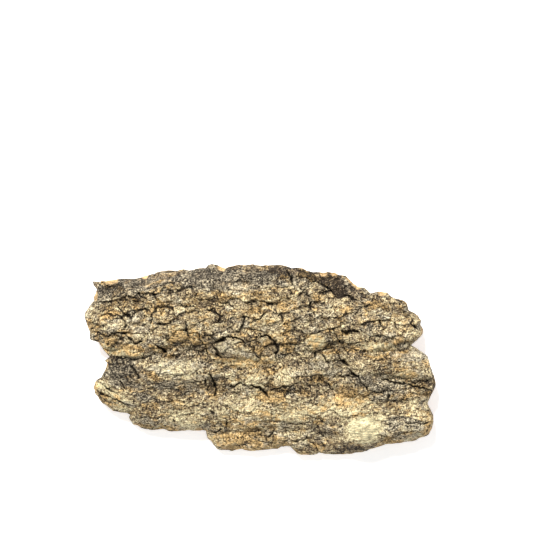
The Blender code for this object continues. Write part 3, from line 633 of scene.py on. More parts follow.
def swelling_height(x, y):
    """Single lumps and hollows."""
    total = np.zeros_like(x)
    for place in SWELLINGS:
        along, aside = turned(x, y, place)
        total += place[5] * MM * np.exp(-1.2 * (along**2 + aside**2))
    return total


def far_share(x, y):
    """1 on the far half with its small thick plates, 0 on the near half with long thin ones."""
    return smooth_step(y + 6 * noise(x / 30, y / 30, 53), *PLATES_CHANGE_BETWEEN)


def plate_relief(x, y, gap_scale):
    """Scaly plates: their height, the painted shade in their gaps, and their tones and warmth."""
    bent_x = x + 5.0 * rough_noise(x / 14, y / 14, 41)
    bent_y = y + 3.5 * rough_noise(x / 12, y / 12, 47)
    fray_x = 1.3 * rough_noise(x / 3.5, y / 3.5, 143)
    fray_y = 1.3 * rough_noise(x / 3.5, y / 3.5, 149)
    height, gap_dark, tone, warmth = (np.zeros_like(x) for _ in range(4))
    far = far_share(x, y)
    for plates, share in [(FAR_PLATES, far), (NEAR_PLATES, 1 - far)]:
        length, width, step, lean, roundness, gap, darkness = plates
        border, level, away_x, away_y = cells((bent_x + fray_x) / length, (bent_y + fray_y) / width, 59)
        tipped = step * (2 * level - 1 + 1.6 * away_x * ((level * 7) % 1 - 0.5)) - lean * away_y
        tipped += roundness * (1 - np.exp(-border / 0.25))
        open_share = smooth_step(noise(x / 7, y / 7, 151) + 0.7 * (level - 0.5), -0.15, 0.5)
        cleft = np.exp(-((border / PLATE_GAP_SHARE) ** 2)) * (0.2 + 0.8 * open_share)
        height += share * (tipped - gap_scale * gap * cleft)
        # Painted shade in the open gaps between plates
        gap_dark += share * darkness * cleft * open_share
        tone += share * (level - 0.5)
        warmth += share * 2 * ((level * 13.7) % 1 - 0.5)
    return height, gap_dark, tone, warmth


def small_scales(x, y):
    """Small scales on the plates, fewest on the near half: their height and their gaps."""
    bent_x = x + 2.6 * rough_noise(x / 6, y / 6, 161)
    bent_y = y + 2.2 * rough_noise(x / 5, y / 5, 167)
    border, level, _, away_y = cells(bent_x / 6.5, bent_y / 4.6, 171)
    cleft = np.exp(-((border / 0.16) ** 2)) * smooth_step(noise(x / 7, y / 7, 173), -0.3, 0.5)
    strength = NEAR_SCALES + (1 - NEAR_SCALES) * far_share(x, y)
    height = 0.7 * MM * (level - 0.5) - 0.8 * MM * away_y - 0.3 * MM * cleft
    return strength * height, strength * cleft


def slope_at(x, y):
    """How much the growth lines climb at a place, as a share of the way along."""
    slope = 0.0
    for place_x, place_y, reach, steepness in ASLANT:
        slope += steepness * math.exp(-((x - place_x) ** 2 + (y - place_y) ** 2) / reach**2)
    return slope


def stacked_flakes(x, y):
    """Thin torn flakes that lie on one another: their height, the painted shadow beside their edges,
    their tones and warmth.
    """
    draw = np.random.RandomState(11)
    height, edge = np.zeros_like(x), np.zeros_like(x)
    tone, warm = np.zeros_like(x), np.zeros_like(x)
    torn_x = 2.2 * rough_noise(x / 6, y / 4, 411) + 0.9 * noise(x / 1.8, y / 1.8, 417)
    torn_y = 1.7 * rough_noise(x / 7, y / 4, 421) + 0.9 * noise(x / 1.8, y / 1.8, 427)
    for across, count, lengths, widths, thicknesses in FLAKES:
        for _ in range(count):
            mid_x, mid_y = draw.uniform(*FLAKES_ALONG), draw.uniform(*across)
            half_length = draw.uniform(*lengths)
            half_width = min(draw.uniform(*widths), half_length)
            turn = math.degrees(math.atan(slope_at(mid_x, mid_y))) + draw.uniform(-12, 12)
            thick, lean = draw.uniform(*thicknesses) * MM, draw.uniform(-0.2, 0.5)
            own_tone, own_warmth = draw.uniform(-1, 1), draw.uniform(0, 1) < WARM_SHARE
            reach = 1.4 * half_length + 3
            rows, columns = window(mid_x, mid_y, reach, reach)
            place = (mid_x, mid_y, half_length, half_width, turn)
            along, aside = turned((x + torn_x)[rows, columns], (y + torn_y)[rows, columns], place)
            out = (abs(along) ** 2.6 + abs(aside) ** 2.6) ** (1 / 2.6)
            steps_out = (out - 1) * half_width
            inside = 1 - smooth_step(steps_out, -0.5, 0.5)
            height[rows, columns] += thick * inside * (1 - lean * aside)
            # Painted shadow just outside a flake's edge, strongest on its near side
            near_side = 0.55 - 0.45 * np.clip(aside, -1, 1)
            shaded = np.exp(-(((steps_out - 0.6) / 0.7) ** 2)) * near_side
            edge[rows, columns] = np.maximum(edge[rows, columns] * (1 - inside), shaded)
            tone[rows, columns] += inside * (own_tone - tone[rows, columns])
            warm[rows, columns] += inside * (own_warmth - warm[rows, columns])
    return height - blurred(height, 9), edge, tone, warm


def growth_lines(x, y, roll):
    """Thin growth lines: they run along the trunk, and bend round rolls and at aslant places.

    It returns 1 on a line and 0 away from it, and each point's place along and across the grain.
    """
    shear = np.zeros_like(x)
    for place_x, place_y, reach, slope in ASLANT:
        near = np.exp(-(((x - place_x) ** 2 + (y - place_y) ** 2) / reach**2))
        shear -= near * slope * (x - place_x)
    swirl = 2 + 2.5 * far_share(x, y)
    line_x = x + swirl * noise(x / 12, y / 10, 191)
    line_y = y + shear + swirl * noise(x / 13, y / 11, 197) + 0.5 * roll / MM
    wave = noise(line_x / 15, line_y / 2.1, 199) + 0.5 * noise(line_x / 8, line_y / 1.2, 211)
    return np.exp(-((wave / 0.2) ** 2)), line_x, line_y


def fissure_depth(x, y):
    """The fissures, with torn sides and ends that run out: their depth and the painted shade in them.
    """
    torn_x, torn_y = torn_points(x, y, (2.2, 6, 3, 71, 77), (0.8, 1.7, 1, 73, 79))
    unbroken = smooth_step(noise(x / 6, y / 6, 233), -0.75, 0.1)
    deepest, darkest = np.zeros_like(x), np.zeros_like(x)
    for half_width, depth, route in FISSURES:
        xs, ys = zip(*route)
        reach = 2 * half_width + 4
        rows, columns = window((min(xs) + max(xs)) / 2, (min(ys) + max(ys)) / 2,
                               (max(xs) - min(xs)) / 2 + reach, (max(ys) - min(ys)) / 2 + reach)
        aside, (share,) = nearest_on_route(torn_x[rows, columns], torn_y[rows, columns],
                                           with_shares(route))
        belly = np.sqrt(np.clip(np.sin(math.pi * share), 0, 1))
        whole = np.maximum(unbroken[rows, columns], min(half_width / 3, 1))
        width = half_width * (0.1 + 0.6 * belly) * whole
        inside = np.clip(1 - abs(aside) / (1.3 * width + 0.4), 0, 1)
        deepest[rows, columns] = np.maximum(deepest[rows, columns], depth * MM * inside**0.7)
        # Painted shade in the fissure, where it is wide enough
        painted = smooth_step(inside, 0.25, 0.65) * smooth_step(width, 0.1, 0.5)
        darkest[rows, columns] = np.maximum(darkest[rows, columns], painted)
    return deepest, darkest


def single_plates(x, y):
    """The plates that stand out singly: their height, and the painted shadow line round them, strongest
    on their near side.
    """
    torn_x, torn_y = torn_points(x, y, (1.8, 5, 3, 233, 239))
    height, line = np.zeros_like(x), np.zeros_like(x)
    for place in PLATES:
        along, aside = turned(torn_x, torn_y, place)
        out = (along**4 + aside**4) ** 0.25
        raised = 1 - smooth_step(out, 0.9, 1.08)
        height = np.maximum(height, place[5] * MM * raised * (1 - 0.25 * out**2))
        # Painted shadow line round the plate, broken up and strongest on its near side
        broken = smooth_step(noise(x / 5, y / 5, 241) - 0.3 * np.clip(aside, -1, 1), -0.2, 0.4)
        line = np.maximum(line, np.exp(-(((out - 1.06) / (0.7 / place[3])) ** 2)) * broken)
    return height - 0.7 * MM * line, line


def pits(x, y):
    """Small holes: their depth and the painted shade in them."""
    draw = np.random.RandomState(29)
    hole = np.zeros_like(x)
    for _ in range(PIT_COUNT):
        mid_x, mid_y, reach = draw.uniform(-165, 165), draw.uniform(-85, 90), draw.uniform(0.7, 1.7)
        rows, columns = window(mid_x, mid_y, 4, 4)
        distance = np.hypot(x[rows, columns] - mid_x, 1.3 * (y[rows, columns] - mid_y))
        hole[rows, columns] = np.maximum(hole[rows, columns], 1 - smooth_step(distance, 0, reach * 1.3))
    return 1.6 * MM * hole, hole


def zone(x, y, places):
    """How strongly a point belongs to any of the places of a list, with uneven borders."""
    strongest = np.zeros_like(x)
    uneven = 0.38 * rough_noise(x / 8, y / 5, 251) + 0.22 * rough_noise(x / 2.6, y / 2, 257)
    for place in places:
        along, aside = turned(x, y, place)
        out = np.hypot(along, aside) + uneven
        strongest = np.maximum(strongest, place[5] * (1 - smooth_step(out, 0.45, 1.25)))
    return strongest


def pale_streaks(x, y):
    """The thin torn edges that catch the light: how pale and how warm each point is."""
    torn_x, torn_y = torn_points(x, y, (2.0, 7, 3, 311, 313))
    pale, warm = np.zeros_like(x), np.zeros_like(x)
    unbroken = smooth_step(noise(x / 4, y / 4, 317), -0.7, 0.1)
    for half_width, paleness, warmth, route in STREAKS:
        aside, _ = nearest_on_route(torn_x, torn_y, route)
        near = unbroken * (1 - smooth_step(abs(aside) / half_width, 0.5, 1.6))
        pale = np.maximum(pale, paleness * near)
        warm = np.maximum(warm, warmth * near)
    return pale, warm


def cork_ledge(x, y, from_edge):
    """1 where the tan inner cork shows past the outer bark at the rim, and 0 elsewhere."""
    near = np.zeros_like(x)
    for lip_x, lip_y, reach in CORK_LIPS:
        near = np.maximum(near, 1.3 - np.hypot(x - lip_x, y - lip_y) / reach)
    uneven = 1.2 * noise(x / 4, y / 4, 263)
    return smooth_step(near, 0.1, 0.45) * (1 - smooth_step(from_edge + uneven, 2.6, 3.6))


def blurred(field, reach):
    """The map, smoothed over about its reach in grid steps each way."""
    cells_out = max(round(reach / MAP_STEP / 2), 1)
    for axis in (0, 1, 0, 1):
        ends = [(0, 0), (0, 0)]
        ends[axis] = (cells_out + 1, cells_out)
        total = np.cumsum(np.pad(field, ends, mode="edge"), axis=axis)
        full = 2 * cells_out + 1
        upper = np.take(total, range(full, total.shape[axis]), axis=axis)
        lower = np.take(total, range(0, total.shape[axis] - full), axis=axis)
        field = (upper - lower) / full
    return field


def window(mid_x, mid_y, reach_x, reach_y):
    """The map's rows and columns round a place."""
    spans = []
    for mid, reach, half in [(mid_y, reach_y, MAP_HALF[1]), (mid_x, reach_x, MAP_HALF[0])]:
        first = max(math.floor((mid - reach + half) / MAP_STEP), 0)
        last = max(math.ceil((mid + reach + half) / MAP_STEP), 1)
        spans.append(slice(first, last))
    return spans


def outer_face(sizes):
    """Maps of the outer bark: its thickness in metres, and its fields for colour."""
    x, y = np.meshgrid(np.arange(-MAP_HALF[0], MAP_HALF[0] + MAP_STEP, MAP_STEP),
                       np.arange(-MAP_HALF[1], MAP_HALF[1] + MAP_STEP, MAP_STEP))
    from_edge = abs(nearest_on_route(x, y, OUTLINE + OUTLINE[:1])[0])
    roll = roll_height(x, y)
    plates, plate_gap, plate_tone, plate_warmth = plate_relief(x, y, sizes.plate_gap)
    scales, scale_gap = small_scales(x, y)
    flakes, flake_edge_shadow, flake_tone, warm = stacked_flakes(x, y)
    lines, line_x, line_y = growth_lines(x, y, roll)
    depth, dark = fissure_depth(x, y)
    singles, single_line = single_plates(x, y)
    ledges, ledge_foot, shade, lip_highlight = ledge_height(x, y)
    smooth = np.clip(zone(x, y, SMOOTH_PLACES), 0, 1)
    hole_depth, hole = pits(x, y)
    pale = zone(x, y, PALE_PLACES)
    streak, streak_warm = pale_streaks(x, y)
    far = far_share(x, y)
    checked = (0.4 + 0.6 * np.clip(pale, 0, 1)) * (1 - 0.1 * far)
    checked *= smooth_step(noise(x / 12, y / 7, 229), -0.6, 0.2)
    lined = (1 - 0.3 * far) * smooth_step(noise(x / 20, y / 12, 269), -0.8, 0.3)
    lively = 0.8 * MM * rough_noise(x / 11, y / 8, 83) + 0.5 * MM * rough_noise(x / 3.6, y / 2.8, 89)
    full = sizes.groove_thickness + roll + swelling_height(x, y) + lively
    inward = np.clip(from_edge / EDGE_ROUNDING, 0, 1)
    rounded = np.sqrt(1 - (1 - inward) ** 2)
    relief = (plates + scales + flakes) * (1 - 0.85 * smooth) + singles + ledges
    relief -= 0.4 * MM * lines * lined
    relief = (relief - hole_depth - depth * sizes.fissure_depth) * np.clip(from_edge / 4, 0.25, 1)
    ledge = cork_ledge(x, y, from_edge)
    thick = EDGE_THICKNESS + (full - EDGE_THICKNESS) * rounded + relief
    # Hollows a little darker and bumps a little paler: partly dirt that the hollows collect, partly
    # painted shade in them and painted light on the bumps
    cavity = np.clip((thick - blurred(thick, 3)) / (0.5 * MM), -1, 1)
    # Painted shade: in fissures, in the plates' and scales' gaps, beside flake edges, at the ledges'
    # foot, round single plates and in the holes
    scaly_gaps = np.maximum.reduce([0.7 * plate_gap, 0.2 * scale_gap, 0.35 * flake_edge_shadow])
    gaps = [dark, scaly_gaps * (1 - smooth), ledge_foot, 0.6 * single_line, hole]
    return {
        "thickness": np.maximum(thick * (1 - 0.5 * ledge), LEAST_THICKNESS),
        "line_x": line_x,
        "line_y": line_y,
        # Painted shade in fissures, gaps and holes
        "bark_gap_painted_shade": np.maximum.reduce(gaps) * (1 - ledge),
        # Pale places, partly painted light, with painted highlights on the ledges' lips and on the
        # streaks that catch the light, and painted light on the near side
        "bark_pale_and_painted_light": pale + 0.5 * lip_highlight + streak + NEAR_SIDE_PAINTED_LIGHT * smooth_step(-y, 30, 60),
        # Dark places, partly painted shade, with painted shade below the ledges
        "bark_dark_and_painted_shade": zone(x, y, DARK_PLACES) + 0.7 * shade,
        "bark_ochre": (np.maximum(zone(x, y, OCHRE_PLACES), 0.8 * warm) + 0.3 * plate_warmth
                       - 0.3 * pale + 2 * streak_warm),
        "bark_grey": zone(x, y, GREY_PLACES) - 0.3 * plate_warmth - 0.5 * pale,
        "bark_tone": (plate_tone + 0.6 * flake_tone) * (1 - 0.7 * smooth),
        "bark_cavity_dirt_and_shading": cavity,
        "bark_lined": lined,
        "bark_checked": checked,
        "bark_smooth": smooth,
        "bark_cut": ledge,
    }


def read_map(field, x, y):
    """The map's value at each plan point, between its four nearest cells."""
    across = np.clip((x + MAP_HALF[0]) / MAP_STEP, 0, field.shape[1] - 1.001)
    up = np.clip((y + MAP_HALF[1]) / MAP_STEP, 0, field.shape[0] - 1.001)
    column, row = across.astype(int), up.astype(int)
    across, up = across - column, up - row
    near = field[row, column] * (1 - across) + field[row, column + 1] * across
    far = field[row + 1, column] * (1 - across) + field[row + 1, column + 1] * across
    return near * (1 - up) + far * up


def shape_slab(points, maps, sizes):
    """Moves the block's points, from minus 1 to 1 in plan and 0 to 1 in height, on to the slab."""
    u, v, level = points.T
    ring = np.maximum(abs(u), abs(v))
    x, y = u * DRAWN_LENGTH / 2, v * BLOCK_WIDTH / 2
    angle = np.arctan2(y, x)
    block_reach = np.maximum(np.hypot(x, y), 1e-6) / np.maximum(ring, 1e-6)
    reach = outline_reach(angle)
    rim_x, rim_y = reach * np.cos(angle), reach * np.sin(angle)
    reach = reach - rim_inset(rim_x, rim_y, level) - torn_rim(rim_x, rim_y, level)
    stretch = 1 + (reach / block_reach - 1) * ring**2
    x, y = x * stretch, y * stretch
    arch = inner_arch(x, y, sizes.arch_rise)
    lower = arch * low_spots(x, y)
    upper = arch + read_map(maps["thickness"], x, y)
    return np.column_stack([x * STEP, y * STEP, np.maximum(lower + level * (upper - lower), FLAT_CUT)])


def rim_inset(x, y, level):
    """How far the outer bark and the inner face stand back from the broken edge."""
    outer_bark = OUTER_BARK_INSET[0] + OUTER_BARK_INSET[1] * noise(x / 18, y / 18, 103)
    inner_face = INNER_FACE_INSET[0] + INNER_FACE_INSET[1] * noise(x / 14 + level * 2, y / 14, 101)
    return outer_bark * smooth_step(level, 0.55, 1) + inner_face * smooth_step(-level, -0.45, 0)


def torn_rim(x, y, level):
    """The fine raggedness of the broken edge, and the cork's layers on it, in grid steps."""
    ragged = 0.8 * noise(x / 7, y / 7, 107) + 0.5 * noise(x / 3, y / 3, 109)
    layers = 0.7 * noise(x / 10 + 3 * level, y / 10 + 7 * level, 113)
    return ragged + layers * np.sin(math.pi * level)


class BarkSizes(bpy.types.PropertyGroup):
    """Sizes of the slab that a user would change"""

    arch_rise: bpy.props.FloatProperty(
        name="Arch rise", description="How high the inner face arches over what it rests on",
        default=14 * MM, min=0, max=30 * MM, precision=4, unit="LENGTH")
    groove_thickness: bpy.props.FloatProperty(
        name="Groove thickness", description="The bark's thickness in the grooves between rolls",
        default=9.5 * MM, min=LEAST_THICKNESS, max=30 * MM, precision=4, unit="LENGTH")
    fissure_depth: bpy.props.FloatProperty(
        name="Fissure depth", description="How deep the fissures are, as a share of their own depth",
        default=1.0, min=0, max=2, subtype="FACTOR")
    plate_gap: bpy.props.FloatProperty(
        name="Plate gaps", description="How deep the gaps between scaly plates are, as a share",
        default=1.0, min=0, max=2, subtype="FACTOR")
    cells_along: bpy.props.IntProperty(
        name="Cells along", description="Mesh cells along the slab before it is thinned",
        default=540, min=100, max=1000)
    wanted_triangles: bpy.props.IntProperty(
        name="Triangles", description="Triangles that the slab keeps",
        default=195000, min=10000, max=199000)


def colour_setting(name, description, default):
    """A colour that a user would change."""
    return bpy.props.FloatVectorProperty(name=name, description=description, size=4,
                                         default=linear(default), min=0, max=1, subtype="COLOR")


class BarkColours(bpy.types.PropertyGroup):
    """Colours of the bark that a user would change"""

    pore: colour_setting("Pores", "The darkest specks of weathered bark", "#2B241C")
    shade: colour_setting("Shaded bark", "Dark weathered bark", "#65584A")
    middle: colour_setting("Bark", "Weathered bark's middle tone", "#9C8A6E")
    light: colour_setting("Light bark", "Bark with a light dry face", "#C9B58D")
    bleached: colour_setting("Bleached bark", "Bark that sun and rain have bleached", "#FFF4C8")
    ochre: colour_setting("Ochre", "Freshly torn flakes, still warm in colour", "#C6A56F")
    grey: colour_setting("Grey", "Long weathered bark, grey with age", "#9D9787")
    cork: colour_setting("Inner cork", "Cut or torn inner cork at the rim", "#E6C594")
    inside: colour_setting("Inner face", "The smooth inner face", "#B98C5F")
    # Painted shade: the near black colour that fills fissures, gaps and holes
    fissure: colour_setting("Fissures", "The bottom of fissures", "#17120D")


def add_node(tree, kind, settings, links):
    """Adds a node: settings are its own properties, links its sockets' values or sources.

    A node that is given as a source stands for its first output.
    """
    node = tree.nodes.new(kind)
    for name, value in settings.items():
        setattr(node, name, value)
    for socket, source in links.items():
        if isinstance(source, bpy.types.Node):
            source = source.outputs[0]
        if isinstance(source, bpy.types.NodeSocket):
            tree.links.new(source, node.inputs[socket])
        else:
            node.inputs[socket].default_value = source
    return node


def bark_patterns(tree):
    """The patterns of the bark's fine detail, by name: noise, crumbs and thin lines."""
    place = add_node(tree, "ShaderNodeTexCoord", {}, {}).outputs["Object"]
    flow = add_node(tree, "ShaderNodeAttribute", {"attribute_name": "bark_flow"}, {}).outputs["Vector"]
    swirl = add_node(tree, "ShaderNodeTexNoise", {},
                     {"Vector": place, "Scale": 1 / SWIRL_SIZE, "Detail": 1.0}).outputs["Color"]
    wander = add_node(tree, "ShaderNodeVectorMath", {"operation": "MULTIPLY_ADD"},
                      {0: swirl, 1: (SWIRL_REACH,) * 3, 2: place})

    # Noise: where it is read, the size of one grain each way in mm, detail, how bent it is, seed
    pattern = {}
    for name, source, size, detail, bend, seed in [
        ("mottle", place, (9, 7, 9), 3, 0.0, 0.0),
        ("cloud", place, (26, 18, 26), 2, 0.0, 1.0),
        ("grain", flow, (4.5, 1.2, 4.5), 1, 0.0, 2.0),
        ("dash", flow, (2.2, 1.0, 2.2), 0, 0.0, 9.0),
        ("grit", place, (1.15, 1.15, 1.15), 0, 0.0, 3.0),
        ("fleck", place, (1.8, 1.6, 1.8), 0, 0.0, 4.0),
        ("rust", place, (6, 4, 6), 3, 0.0, 10.0),
        ("lichen", place, (8, 6, 8), 3, 0.0, 11.0),
        ("vein", place, (1.2, 4, 1.2), 1, 0.0, 5.0),
        ("layer", place, (12, 12, 1.3), 2, 0.0, 7.0),
        ("streak", place, (22, 1.6, 22), 2, 0.0, 8.0),
        ("line", flow, (11, 1.9, 11), 1, 0.0, 6.0),
        ("check", flow, (2.8, 8.0, 2.8), 1, 0.3, 15.0),
        ("crease", wander, (3.6, 3.6, 3.6), 1, 0.8, 12.0),
        ("seam", flow, (4.0, 2.2, 4.0), 1, 0.6, 13.0),
        ("scratch", flow, (5.0, 2.4, 5.0), 1, 0.5, 14.0),
    ]:
        sized = add_node(tree, "ShaderNodeMapping", {},
                         {"Vector": source, "Location": (seed, seed, seed),
                          "Scale": tuple(1 / (length * MM) for length in size)})
        pattern[name] = add_node(tree, "ShaderNodeTexNoise", {},
                                 {"Vector": sized, "Scale": 1.0, "Detail": detail,
                                  "Roughness": 0.6, "Distortion": bend})

    # Five of them become thin lines, which run where the noise crosses its middle. A line's
    # half width is a share of the noise's range.
    for name, half_width in [("line", 0.09), ("check", 0.07), ("crease", 0.08), ("seam", 0.07),
                             ("scratch", 0.07)]:
        off_line = add_node(tree, "ShaderNodeMath", {"operation": "SUBTRACT"},
                            {0: pattern[name], 1: 0.5})
        off_line = add_node(tree, "ShaderNodeMath", {"operation": "ABSOLUTE"}, {0: off_line})
        pattern[name] = add_node(tree, "ShaderNodeMapRange", {},
                                 {"Value": off_line, "From Min": half_width, "From Max": 0.0})

    # Crumbs of bark, each with a tone of its own and a dark gap round it
    crumbs = {"Vector": wander, "Scale": 1 / CRUMB_SIZE}
    pattern["crumb"] = add_node(tree, "ShaderNodeTexVoronoi", {"feature": "F1"},
                                crumbs).outputs["Color"]
    to_gap = add_node(tree, "ShaderNodeTexVoronoi", {"feature": "DISTANCE_TO_EDGE"},
                      crumbs).outputs["Distance"]
    pattern["crumb_gap"] = add_node(tree, "ShaderNodeMapRange", {},
                                    {"Value": to_gap, "From Min": 0.16, "From Max": 0.0})
    return pattern


def bark_tone(tree, field, pattern, liveliness):
    """A point's tone, from 0 for the darkest bark to 1 for the palest."""
    specks = [("mottle", 0.15), ("cloud", 0.2), ("grain", 0.2), ("dash", 0.45), ("grit", 0.9),
              ("fleck", 0.3), ("vein", 1.1), ("crumb", 0.1), ("crumb_gap", -0.1),
              ("crease", -0.3), ("seam", -0.35), ("scratch", 0.35)]
    tone = -sum(weight for _, weight in specks) / 2
    for name, weight in specks:
        tone = add_node(tree, "ShaderNodeMath", {"operation": "MULTIPLY_ADD"},
                        {0: pattern[name], 1: weight, 2: tone})
    tone = add_node(tree, "ShaderNodeMath", {"operation": "MULTIPLY_ADD"},
                    {0: tone, 1: liveliness, 2: MIDDLE_TONE})
    # Painted light and painted shade join the tone here, along with the bark's own pale and dark places
    for name, weight in [("bark_tone", 0.25), ("bark_cavity_dirt_and_shading", 0.1), ("bark_pale_and_painted_light", 0.27),
                         ("bark_dark_and_painted_shade", -0.22)]:
        tone = add_node(tree, "ShaderNodeMath", {"operation": "MULTIPLY_ADD"},
                        {0: field[name], 1: weight, 2: tone})
    return tone


def outer_bark_colour(tree, field, pattern, tone, colours):
    """The outer bark's colour, before its dark lines and gaps."""
    ramp = add_node(tree, "ShaderNodeValToRGB", {}, {"Fac": tone})
    steps = ramp.color_ramp.elements
    for position, colour in [(0.24, colours.shade), (0.46, colours.middle), (0.7, colours.light)]:
        steps.new(position).color = colour
    steps[0].color = colours.pore
    steps[-1].color = colours.bleached
    colour = ramp.outputs["Color"]

    # Warm and grey flecks all over, which grow together where the bark is marked so
    for name, tint, patch, most in [("bark_ochre", colours.ochre, "rust", 0.85),
                                    ("bark_grey", colours.grey, "lichen", 0.65)]:
        share = add_node(tree, "ShaderNodeMath", {"operation": "MULTIPLY_ADD"},
                         {0: field[name], 1: 0.38, 2: pattern[patch]})
        share = add_node(tree, "ShaderNodeMapRange", {},
                         {"Value": share, "From Min": 0.51, "From Max": 0.72, "To Max": most})
        tinted = add_node(tree, "ShaderNodeMix", {"data_type": "RGBA", "blend_type": "COLOR"},
                          {0: 1.0, 6: colour, 7: tuple(tint)}).outputs[2]
        colour = add_node(tree, "ShaderNodeMix", {"data_type": "RGBA"},
                          {0: share, 6: colour, 7: tinted}).outputs[2]
    return colour


def dark_lines(tree, field, pattern):
    """Growth lines and checks, where the bark has them: how dark each point is."""
    on_line = add_node(tree, "ShaderNodeMath", {"operation": "MULTIPLY"},
                       {0: pattern["line"], 1: field["bark_lined"]})
    on_check = add_node(tree, "ShaderNodeMath", {"operation": "MULTIPLY"},
                        {0: pattern["check"], 1: field["bark_checked"]})
    on_either = add_node(tree, "ShaderNodeMath", {"operation": "MAXIMUM"},
                         {0: on_line, 1: on_check})
    return add_node(tree, "ShaderNodeMath", {"operation": "MULTIPLY"},
                    {0: on_either, 1: LINE_DARKNESS})


def with_lines_and_gaps(tree, colour, field, pattern, colours):
    """The colour with dark growth lines and checks, and with painted shade in fissures, gaps and holes
    and beside edges.
    """
    torn = add_node(tree, "ShaderNodeMath", {"operation": "MULTIPLY_ADD"},
                    {0: pattern["grit"], 1: 0.5, 2: field["bark_gap_painted_shade"]})
    gap = add_node(tree, "ShaderNodeMapRange", {},
                   {"Value": torn, "From Min": 0.4, "From Max": 1.1})
    dark = add_node(tree, "ShaderNodeMath", {"operation": "MAXIMUM"},
                    {0: pattern["dark_line"], 1: gap})
    dark = add_node(tree, "ShaderNodeMath", {"operation": "MULTIPLY", "use_clamp": True},
                    {0: dark, 1: GAP_DARKNESS})
    return add_node(tree, "ShaderNodeMix", {"data_type": "RGBA"},
                    {0: dark, 6: colour, 7: tuple(colours.fissure)}).outputs[2]


def with_inner_cork(tree, colour, field, pattern, colours):
    """The colour with torn cork's yearly layers at the rim, and the inner face's long streaks."""
    speck = add_node(tree, "ShaderNodeMapRange", {},
                     {"Value": pattern["grit"], "From Min": 0.3, "From Max": 0.5,
                      "To Min": 0.6, "To Max": 1.0})
    for name, tint, stripe, low in [("bark_cut", colours.cork, "layer", 0.35),
                                    ("bark_inner", colours.inside, "streak", 0.45)]:
        shade = add_node(tree, "ShaderNodeMapRange", {},
                         {"Value": pattern[stripe], "From Min": 0.25, "From Max": 0.6,
                          "To Min": low, "To Max": 1.05})
        shade = add_node(tree, "ShaderNodeMath", {"operation": "MULTIPLY"}, {0: shade, 1: speck})
        cork = add_node(tree, "ShaderNodeMix", {"data_type": "RGBA", "blend_type": "MULTIPLY"},
                        {0: 1.0, 6: tuple(tint), 7: shade}).outputs[2]
        colour = add_node(tree, "ShaderNodeMix", {"data_type": "RGBA"},
                          {0: field[name], 6: colour, 7: cork}).outputs[2]
    return colour


# Virgin cork oak bark, fissured by growth and weathered on the tree. To the eye it is dry and
# dull: grey and ochre plates full of fine specks, thin growth lines and nearly black fissures.
def weathered_cork_bark(colours):
    material = bpy.data.materials.new("virgin_cork_oak_bark_fissured_and_weathered")
    material.use_nodes = True
    tree = material.node_tree
    tree.nodes.clear()
    field = {name: add_node(tree, "ShaderNodeAttribute", {"attribute_name": name}, {}).outputs["Fac"]
             for name in FIELDS}
    pattern = bark_patterns(tree)
    pattern["dark_line"] = dark_lines(tree, field, pattern)

    # Smooth places are less mottled, and their fine relief is lower
    liveliness = add_node(tree, "ShaderNodeMapRange", {},
                          {"Value": field["bark_smooth"], "To Min": 1.05, "To Max": 0.65})
    tone = bark_tone(tree, field, pattern, liveliness)
    colour = outer_bark_colour(tree, field, pattern, tone, colours)
    colour = with_lines_and_gaps(tree, colour, field, pattern, colours)
    colour = with_inner_cork(tree, colour, field, pattern, colours)

    # Grit, grain and veins stand out, and the lines lie lower, by some tenths of a millimetre
    relief = 0.0
    for name, weight in [("grit", 0.35), ("grain", 0.3), ("dash", 0.5), ("vein", 0.6),
                         ("crumb", 0.15), ("crumb_gap", -0.2), ("crease", -0.5),
                         ("seam", -0.4), ("scratch", 0.4), ("dark_line", -0.6)]:
        relief = add_node(tree, "ShaderNodeMath", {"operation": "MULTIPLY_ADD"},
                          {0: pattern[name], 1: weight, 2: relief})
    bump = add_node(tree, "ShaderNodeBump", {},
                    {"Strength": liveliness, "Distance": FINE_RELIEF, "Height": relief})
    surface = add_node(tree, "ShaderNodeBsdfPrincipled", {},
                       {"Base Color": colour, "Roughness": 0.9, "Metallic": 0.0,
                        "Specular IOR Level": 0.2, "Normal": bump})
    add_node(tree, "ShaderNodeOutputMaterial", {}, {"Surface": surface})
    return material


# Matt white studio sweep, painted and rolled: even, pale and without gloss. It gives off a
# little light of its own, so that the ground stays nearly white all round the slab.
def painted_sweep():
    material = bpy.data.materials.new("studio_sweep_matt_paint_rolled")
    material.use_nodes = True
    surface = material.node_tree.nodes["Principled BSDF"]
    surface.inputs["Base Color"].default_value = linear("#F7F7F6")
    surface.inputs["Roughness"].default_value = 0.95
    surface.inputs["Specular IOR Level"].default_value = 0.1
    surface.inputs["Emission Color"].default_value = linear("#FFFFFF")
    surface.inputs["Emission Strength"].default_value = FLOOR_GLOW
    return material


class CORKBARK_OT_make_slab(bpy.types.Operator):
    """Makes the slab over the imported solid's outline and on its resting spots"""

    bl_idname = "cork_bark.make_slab"
    bl_label = "Make the slab"

    def execute(self, context):
        sizes = context.scene.cork_bark_sizes
        slab = block_of_cells(sizes)
        points = points_of(slab.data)
        level = slab.data.attributes.new("bark_level", "FLOAT", "POINT")
        level.data.foreach_set("value", np.clip(points[:, 2], 0, 1))
        maps = outer_face(sizes)
        move_points(slab.data, shape_slab(points, maps, sizes))
        thin_out(slab, sizes.wanted_triangles)
        paint_fields(slab, maps)
        settle(slab)
        slab.data.materials.append(weathered_cork_bark(context.scene.cork_bark_colours))
        bpy.ops.object.shade_smooth()
        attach(slab, "root")
        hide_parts(NODE)
        return {"FINISHED"}


def points_of(mesh):
    """Where the mesh's points are, a row to a point."""
    points = np.empty(len(mesh.vertices) * 3)
    mesh.vertices.foreach_get("co", points)
    return points.reshape(-1, 3)


def move_points(mesh, points):
    """Moves the mesh's points to the given places."""
    mesh.vertices.foreach_set("co", points.ravel())
    mesh.update()


